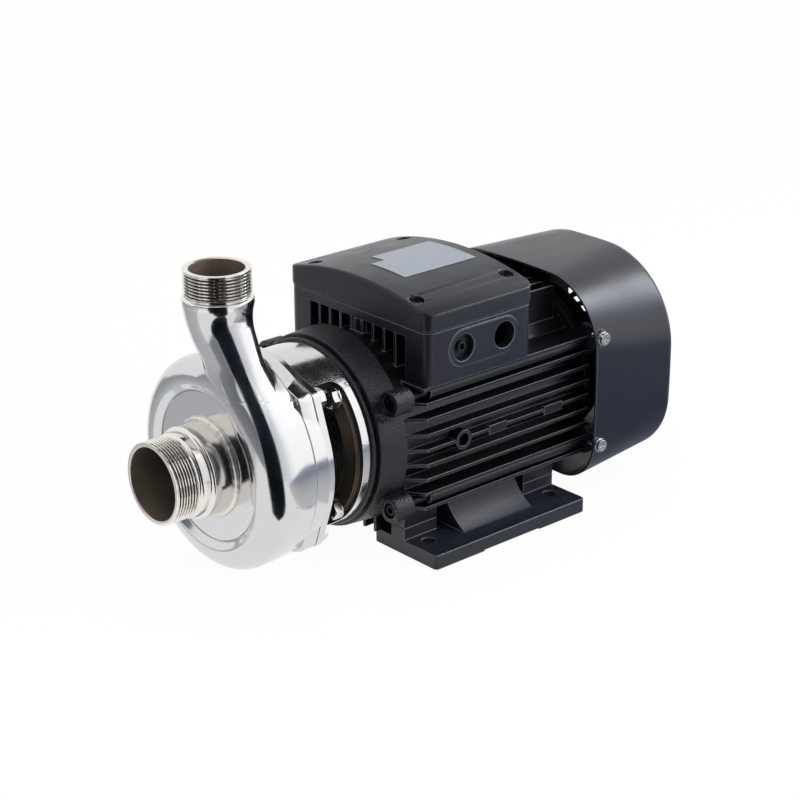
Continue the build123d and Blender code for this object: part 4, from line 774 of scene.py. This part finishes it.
collar = rounded([
    (123.9, 23.1), (123.4, 23.1), (122.6, 25.1), (118.1, 25.2), (118.1, RISER_BORE),
    (142.4, RISER_BORE), (RISER_TOP, 20.2), (RISER_TOP, 23.2),
], [0.3, 0.8, 0.8, 0.1, 0.1, 0.2, 0.3, 0.2], 4)
from_top = np.column_stack([RISER_TOP - collar[:, 0], collar[:, 1]])
along, radius = with_outline(0.3, RISER_CREST, from_top, turn)
riser = mesh_from("discharge_riser", [turned_z(RISER_TOP - along, radius, turn, VOLUTE_MIDDLE)])
discharge_riser = piece("discharge_riser", riser, "discharge_nipple", upright_steel)
paint_bore_shade(
    discharge_riser, [0, 1], (VOLUTE_MIDDLE, 0), RISER_BORE + 0.2, bore_shade,
    (2, SHAFT_HEIGHT + RISER_ROOTS[0], SHAFT_HEIGHT + RISER_ROOTS[1], RISER_CREST),
)

# %% [markdown]
# ## The weld at the suction boss
# The boss is welded to the eye floor by hand, so the bead swells and thins as it goes round. A ring
# with a round section does it, once its thickness follows a few waves round the circle.

# %% Weld bead
def bead_grid(station, radius, half, steps=288):
    """A ring of round section whose half thickness is a value times (1 + waves round the circle)."""
    angle = angles(steps)
    waves = 0.03 * np.sin(23 * angle) + 0.05 * np.sin(9 * angle + 1) + 0.02 * np.sin(41 * angle)
    section = angles(20).T
    swollen = half * (1 + waves)
    out = radius + swollen * np.cos(section)
    return turned_x(station + swollen * np.sin(section), out, angle)


bead = mesh_from("suction_bead", [bead_grid(station=-206.8, radius=34.0, half=2.8)])
piece("suction_bead", bead, "suction_weld", finishes["weld_steel"])

# %% [markdown]
# ## Hexagon bolts and washers
# A bolt head is a hexagon whose top corners are turned off by a shallow cone. Its radius is the
# distance to the flat in each direction, and its height falls where that radius passes the cone.

# %% Bolts
BOLT_RADIUS = 4.0
BOLT_POINT = 0.8
BOLT_FLATS = 13.0
BOLT_HEIGHT = 5.3
HEAD_CONE = BOLT_FLATS / 2 * 0.96
HEAD_SLOPE = math.radians(28)
HEAD_DISH = 0.35
WASHER_RADIUS = 7.5
WASHER_THICKNESS = 1.6


def hex_radius(angle, flats):
    """Distance from the middle of a hexagon to its side in each direction: half / cos(turn)."""
    sixth = math.pi / 3
    from_flat = angle % sixth - sixth / 2
    return flats / 2 / np.cos(from_flat)


def bolt_grid(seat, side, y, z, tip):
    """A bolt from its tip to the top of its head, as circles along X that swell into a hexagon."""
    angle = angles(72)
    corner = hex_radius(angle, BOLT_FLATS)
    under = seat + side * WASHER_THICKNESS
    top = under + side * BOLT_HEIGHT
    fall = (corner - HEAD_CONE) * math.tan(HEAD_SLOPE)
    dish = top - side * HEAD_DISH
    columns = [
        (tip, 0), (tip, BOLT_RADIUS - BOLT_POINT), (tip + side * BOLT_POINT, BOLT_RADIUS),
        (under, BOLT_RADIUS), (under, corner), (top - side * fall, corner), (top, HEAD_CONE),
        (top, HEAD_CONE - 0.6), (dish, HEAD_CONE - 1.1), (dish, 0),
    ]
    along = np.hstack([np.broadcast_to(a, angle.shape) for a, r in columns])
    radius = np.hstack([np.broadcast_to(r, angle.shape) for a, r in columns])
    return turned_x(along, radius, angle, y, z)


def washer_grid(seat, side, y, z):
    """A flat washer with softened edges."""
    far = seat + side * WASHER_THICKNESS
    outline = rounded([
        (seat, BOLT_RADIUS), (seat, WASHER_RADIUS), (far, WASHER_RADIUS), (far, BOLT_RADIUS),
    ], 0.35, 4)
    return turned_x(outline[:, 0], outline[:, 1], angles(64), y, z)


def diagonals(radius):
    """Four places on the diagonals of a circle round the shaft."""
    reach = radius / math.sqrt(2)
    return [(y, z) for y in (-reach, reach) for z in (-reach, reach)]


# %% [markdown]
# ### Two rings of four bolts
# Four bolts hold the lantern to the casing: their heads lie behind the lantern's flange and point
# to the motor. Four more hold it to the motor, with their heads inside the lantern. Each bolt bites
# some way past its joint, into the lug or the motor's shield.

# %% Rings of bolts
LANTERN_FLANGE = 6.2
MOTOR_CIRCLE = 60.0
MOTOR_JOINT = -114.4
MOTOR_SEAT = -125.3
LUG_BITE = 14.0
SHIELD_BITE = 12.0

zinc = finishes["screw_steel"]
for place, node, seat, side, circle, tip in [
    ("flange", "casing", JOINT + LANTERN_FLANGE, 1, LUG_CIRCLE, JOINT - LUG_BITE),
    ("motor", "lantern", MOTOR_SEAT, -1, MOTOR_CIRCLE, MOTOR_JOINT + SHIELD_BITE),
]:
    bolts = [bolt_grid(seat, side, y, z, tip) for y, z in diagonals(circle)]
    piece(place + "_bolts", mesh_from(place + "_bolts", bolts), node + "_bolts", zinc)
    rings = [washer_grid(seat, side, y, z) for y, z in diagonals(circle)]
    piece(place + "_washers", mesh_from(place + "_washers", rings), node + "_washers", zinc)

# %% [markdown]
# ## Cast, pressed and machined parts
# These parts have shapes that the CAD model already gives fully: fins, pockets, windows and slots.
# They could be built again, but it is wiser to take a copy, merge its triangles into whole faces
# and round the edges by a few tenths of a millimetre. The round is what the eye reads as paint over
# an edge, because each edge then catches a thin line of light. On the frame, box, lid, feet and fan
# cover the round also gets a paler paint, a painted highlight. The lid and earth screws have a black
# oxide finish, not zinc plate. The tie rods get the same black steel as painted shade in their
# sockets. The lantern's inside gets a dull steel painted darker, as painted shade.

# %% Parts taken from the CAD model
LANTERN_INSIDE = 66.0
edges = {
    "lantern": 0.5, "front_end_shield": 0.8, "rear_end_shield": 0.6, "motor_frame": 0.45,
    "foot_near": 0.7, "foot_far": 0.7, "terminal_box": 0.7, "terminal_box_lid": 0.5,
    "terminal_box_gasket": 0.2, "lid_screws": 0.3, "gland_plug": 0.4, "earth_screw": 0.3,
    "tie_rods": 0.3, "tie_rod_nuts": 0.3, "fan_cover": 0.4, "fan_cover_washers": 0.2,
    "fan_cover_screws": 0.3, "rating_label": 0.1, "fan": 0.4, "foot_screws": 0.3,
}
blackened_and_shade = blackened_and_shade_steel()
# A darker, browner steel inside the lantern: painted shade.
lantern_inside_shade = shaded_dull_steel("painted_shade_lantern_inside", "#4a423c", "#5d544d", 0.36)
# Paler paints for the rounded edges of these parts: painted highlight.
fin_edge_highlight = edge_highlight_paint("painted_highlight_fin_edge", "#454a53")
box_edge_highlight = edge_highlight_paint("painted_highlight_box_edge", "#474d58")
edge_highlights = {
    "motor_frame": fin_edge_highlight, "terminal_box_lid": box_edge_highlight, "terminal_box": box_edge_highlight,
    "foot_near": box_edge_highlight, "foot_far": box_edge_highlight, "fan_cover": box_edge_highlight,
}
for node, edge in edges.items():
    # The tie rods get the black screw steel as painted shade in their deep sockets.
    dark_screw = node in ("earth_screw", "tie_rods", "lid_screws")
    finish = blackened_and_shade if dark_screw else finishes[slot_of[node]]
    made = dressed(node, finish, edge, edge_highlights.get(node))
    if node == "lantern":
        paint_bore_shade(made, [1, 2], (0, SHAFT_HEIGHT), LANTERN_INSIDE, lantern_inside_shade)

# %% [markdown]
# ## Camera
# The camera stands where the photographer stood: to the near side of the suction nipple, a little
# above, with a long lens. Its place and turn were worked out from parts of known size.

# %% Camera
CAMERA_PLACE = (-0.9979, -1.1055, 0.6820)
CAMERA_TURN = math.radians(-41.26)
CAMERA_PITCH = math.radians(21.87)
CAMERA_ROLL = math.radians(-0.26)
SENSOR = 36.0
LENS_PIXELS = 2115
PICTURE = 800


def camera_matrix():
    """The camera's turn from its heading, its pitch below the horizon and its roll."""
    forward = np.array([
        -math.sin(CAMERA_TURN) * math.cos(CAMERA_PITCH),
        math.cos(CAMERA_TURN) * math.cos(CAMERA_PITCH),
        -math.sin(CAMERA_PITCH),
    ])
    right = np.cross(forward, (0, 0, 1))
    right /= np.linalg.norm(right)
    up = np.cross(right, forward)
    c, s = math.cos(CAMERA_ROLL), math.sin(CAMERA_ROLL)
    matrix = np.eye(4)
    matrix[:3, 0] = right * c + up * s
    matrix[:3, 1] = up * c - right * s
    matrix[:3, 2] = -forward
    matrix[:3, 3] = CAMERA_PLACE
    return matrix.tolist()


camera = bpy.data.objects.new("camera", bpy.data.cameras.new("camera"))
bpy.context.scene.collection.objects.link(camera)
camera.data.sensor_width = SENSOR
camera.data.lens = LENS_PIXELS / PICTURE * SENSOR
camera.data.clip_start = 0.05
camera.data.clip_end = 50
camera.matrix_world = Matrix(camera_matrix())
bpy.context.scene.camera = camera
print("lens", round(camera.data.lens, 1), "mm")

# %% [markdown]
# ## Floor and background
# The photograph was taken on white in soft light. The floor and the background are white to the
# camera and to reflections, while the light that falls on the object stays at a plain level. The
# floor is nearly all glow, with a little real paper left in it that keeps the object's shadow.

# %% Floor and world
WORLD_LEVEL = 0.5
FLOOR_GLOW = 0.96
FLOOR_REACH = 6.0
FLOOR_HEIGHT = -0.0006


def seen_directly(tree):
    """One where the camera, a reflection or a refraction looks, and nothing for other light."""
    path = add(tree, "ShaderNodeLightPath").outputs
    seen = path["Is Camera Ray"]
    for ray in ("Is Glossy Ray", "Is Transmission Ray"):
        seen = add(tree, "ShaderNodeMath", {0: seen, 1: path[ray]}, operation="MAXIMUM").outputs[0]
    return seen


def white_world(level):
    """A white world for camera and reflections that lights the object at a lower level."""
    world = bpy.data.worlds.new("studio")
    world.use_nodes = True
    tree = world.node_tree
    seen = seen_directly(tree)
    strength = add(tree, "ShaderNodeMapRange", {"Value": seen, "To Min": level, "To Max": 1.0})
    background = tree.nodes["Background"]
    background.inputs["Color"].default_value = (1, 1, 1, 1)
    tree.links.new(strength.outputs["Result"], background.inputs["Strength"])
    return world


def floor_material():
    """White paper that keeps part of the object's shadow."""
    material = bpy.data.materials.new("white_paper_floor")
    material.use_nodes = True
    tree = material.node_tree
    tree.nodes.remove(tree.nodes["Principled BSDF"])
    paper = add(tree, "ShaderNodeBsdfDiffuse", {"Color": (0.9, 0.9, 0.9, 1)})
    glow = add(tree, "ShaderNodeEmission", {"Color": (1, 1, 1, 1), "Strength": 1.0})
    share = add(tree, "ShaderNodeMath", {0: seen_directly(tree), 1: FLOOR_GLOW}, operation="MULTIPLY")
    mix = add(
        tree, "ShaderNodeMixShader", {0: share.outputs[0], 1: paper.outputs[0], 2: glow.outputs[0]}
    )
    tree.links.new(mix.outputs[0], tree.nodes["Material Output"].inputs["Surface"])
    return material


def level_corners(x, y, far_x, far_y, height):
    """The four corners of a level rectangle."""
    return [(x, y, height), (far_x, y, height), (far_x, far_y, height), (x, far_y, height)]


def sheet_of(name, corners, material):
    """A flat four-cornered sheet for the studio, not part of the object."""
    mesh = bpy.data.meshes.new(name)
    mesh.from_pydata(corners, [], [(0, 1, 2, 3)])
    mesh.materials.append(material)
    made = bpy.data.objects.new(name, mesh)
    bpy.context.scene.collection.objects.link(made)
    return made


bpy.context.scene.world = white_world(WORLD_LEVEL)
floor_corners = level_corners(-FLOOR_REACH, -FLOOR_REACH, FLOOR_REACH, FLOOR_REACH, FLOOR_HEIGHT)
sheet_of("floor", floor_corners, floor_material())
print("floor", 2 * FLOOR_REACH, "m wide")

# %% [markdown]
# ### Cards for the reflections
# Polished steel shows only what stands round it. In an all-white room it would look like paper, so
# photographers stand cards around the object. They are seen by reflections alone, so they cast no
# shadow and take no light away. Each is a flat sheet that glows with a run of greys from one side to
# the other, and it is placed by its heading and distance from the pump end.

# %% Helpers for cards
PUMP_END = (-0.20, -0.04)


def card_material(name, stops, axis="Z", start=0.0, end=1.0, strength=1.0):
    """A card that shows reflections a run of hex colours, given as (share of the way, colour)."""
    material = bpy.data.materials.new(name)
    material.use_nodes = True
    tree = material.node_tree
    tree.nodes.remove(tree.nodes["Principled BSDF"])
    place = add(tree, "ShaderNodeTexCoord")
    parts = add(tree, "ShaderNodeSeparateXYZ", {"Vector": place.outputs["Object"]})
    share = add(
        tree, "ShaderNodeMapRange",
        {"Value": parts.outputs[axis], "From Min": start, "From Max": end},
    )
    ramp = add(tree, "ShaderNodeValToRGB", {"Fac": share.outputs["Result"]})
    elements = ramp.color_ramp.elements
    for _ in stops[2:]:
        elements.new(0.5)
    for element, (position, colour) in zip(elements, stops):
        element.position = position
        element.color = linear(colour)
    glow = add(tree, "ShaderNodeEmission", {"Color": ramp.outputs["Color"], "Strength": strength})
    tree.links.new(glow.outputs[0], tree.nodes["Material Output"].inputs["Surface"])
    return material


def card(name, corners, material):
    """A card for reflections only."""
    made = sheet_of(name, corners, material)
    made.visible_camera = False
    made.visible_diffuse = False
    made.visible_transmission = False
    made.visible_shadow = False
    print("card", name)


def around(heading, distance, height):
    """A point at a compass heading in degrees and a distance in metres from the pump end."""
    turn = math.radians(heading)
    return (
        PUMP_END[0] + distance * math.cos(turn), PUMP_END[1] + distance * math.sin(turn), height
    )


def standing(name, from_heading, to_heading, distance, low, high, material):
    """An upright card between two headings."""
    card(name, [
        around(from_heading, distance, low), around(to_heading, distance, low),
        around(to_heading, distance, high), around(from_heading, distance, high),
    ], material)


# %% [markdown]
# ### Dark cards
# The dark bands on the steel come from the dark side of the room. One card stands where the camera
# is, one leans in above it, a ceiling hangs behind the motor, and dark sheets lie on the floor before
# the pump. Sheets on the floor lie at heights a tenth of a millimetre apart, so that no two that
# overlap share a plane.

# %% Dark cards
TOP_SHEET, MIDDLE_SHEET, LOW_SHEET = 0.0008, 0.0007, 0.0006
CEILING = 1.4

dark = card_material("dark_room", [(0, "#10151a"), (1, "#1c222c")], end=0.9)
standing("camera_side", -160, -98, 1.0, TOP_SHEET, 1.05, dark)
card("camera_side_above", [
    around(-160, 1.0, 1.05), around(-98, 1.0, 1.05), around(-80, 0.45, 1.2), around(-170, 0.45, 1.2),
], dark)
card("camera_side_floor", [
    (-0.232, -0.122, TOP_SHEET), (-0.62, -0.215, TOP_SHEET), around(-160, 1.0, TOP_SHEET),
    around(-98, 1.0, TOP_SHEET),
], card_material("dark_floor", [(0, "#11251f"), (1, "#10151a")], "Y", -0.12, -0.3))
card("camera_side_floor_near", [
    (-0.232, -0.122, MIDDLE_SHEET), around(-98, 1.0, MIDDLE_SHEET), (-0.215, -0.25, MIDDLE_SHEET),
    (-0.222, -0.15, MIDDLE_SHEET),
], dark)
card("ceiling", [
    around(-35, 0.1, CEILING), around(-35, 1.25, CEILING), around(25, 1.5, CEILING),
    around(85, 1.25, CEILING),
], card_material("dark_ceiling", [(0, "#1b1613"), (1, "#2a2a2c")], "X", -0.2, 1.0))

# %% [markdown]
# ### Pale cards and lights
# To the right of the camera stands a soft box, which is the broad white in the steel. A cool edge
# light before its right end and a strip light above it draw thin lines along the black edges. To
# the left, and on the floor beside the motor, the cards are grey, which gives flat faces a tone.

# %% Pale cards and lights
soft_box = [(0, "#c4c8d0"), (0.35, "#d4d7dc"), (0.6, "#ffffff"), (0.8, "#ffffff"), (1, "#b9bdc6")]
standing(
    "right_side", -97, -15, 1.3, TOP_SHEET, 1.3,
    card_material("soft_box", soft_box, "X", -0.36, 1.05, 1.35),
)
standing(
    "edge_light", -40, -6, 1.25, 0.36, 1.5,
    card_material("edge_light", [(0, "#8e97ab"), (1, "#f4f7ff")], "Z", 0.36, 0.7, 9.0),
)
card("strip_light", [
    around(-75, 0.75, 1.15), around(-35, 0.75, 1.15), around(-35, 0.85, 1.25), around(-75, 0.85, 1.25),
], card_material("strip_light", [(0, "#ffffff"), (1, "#ffffff")], strength=6.0))
standing(
    "left_side", 150, 199, 1.3, TOP_SHEET, 0.8,
    card_material("grey_left", [(0, "#8f9399"), (1, "#6d7178")], end=0.8),
)
card(
    "left_floor", level_corners(-0.24, 0.1, -1.5, 1.5, LOW_SHEET),
    card_material("pale_left_floor", [(0, "#cfd2d5"), (1, "#a4a9ae")], "Y", 0.1, 0.6),
)
shade = [(0, "#d8d8da"), (0.35, "#8a92a4"), (1, "#a6b0c6")]
card(
    "motor_floor", level_corners(-0.08, -0.75, 0.9, 0.4, MIDDLE_SHEET),
    card_material("shaded_floor", shade, "X", -0.08, 0.7),
)

# %% [markdown]
# ## Lamps
# Three large soft lamps give the shape its shading: one from above the pump end, a stronger one from
# the near side and one from above the motor. Reflections don't see them, because the cards already
# give the steel and the paint all the bright shapes that they show.

# %% Lamps
LAMP_AIM = (0, 0, 0.1)


def lamp(name, place, size, power):
    """A square soft lamp that looks from its place to the middle of the object."""
    data = bpy.data.lights.new(name, "AREA")
    data.shape = "SQUARE"
    data.size = size
    data.energy = power
    made = bpy.data.objects.new(name, data)
    bpy.context.scene.collection.objects.link(made)
    made.visible_glossy = False
    direction = Vector(LAMP_AIM) - Vector(place)
    made.location = place
    made.rotation_euler = direction.to_track_quat("-Z", "Y").to_euler()
    print(name, power, "W")


lamp("key_lamp", (-0.9, -0.6, 1.6), 1.0, 9)
lamp("fill_lamp", (1.0, -1.4, 0.9), 1.2, 26)
lamp("top_lamp", (0.2, 0.5, 1.8), 1.2, 7)
bpy.context.scene.view_settings.view_transform = "Standard"
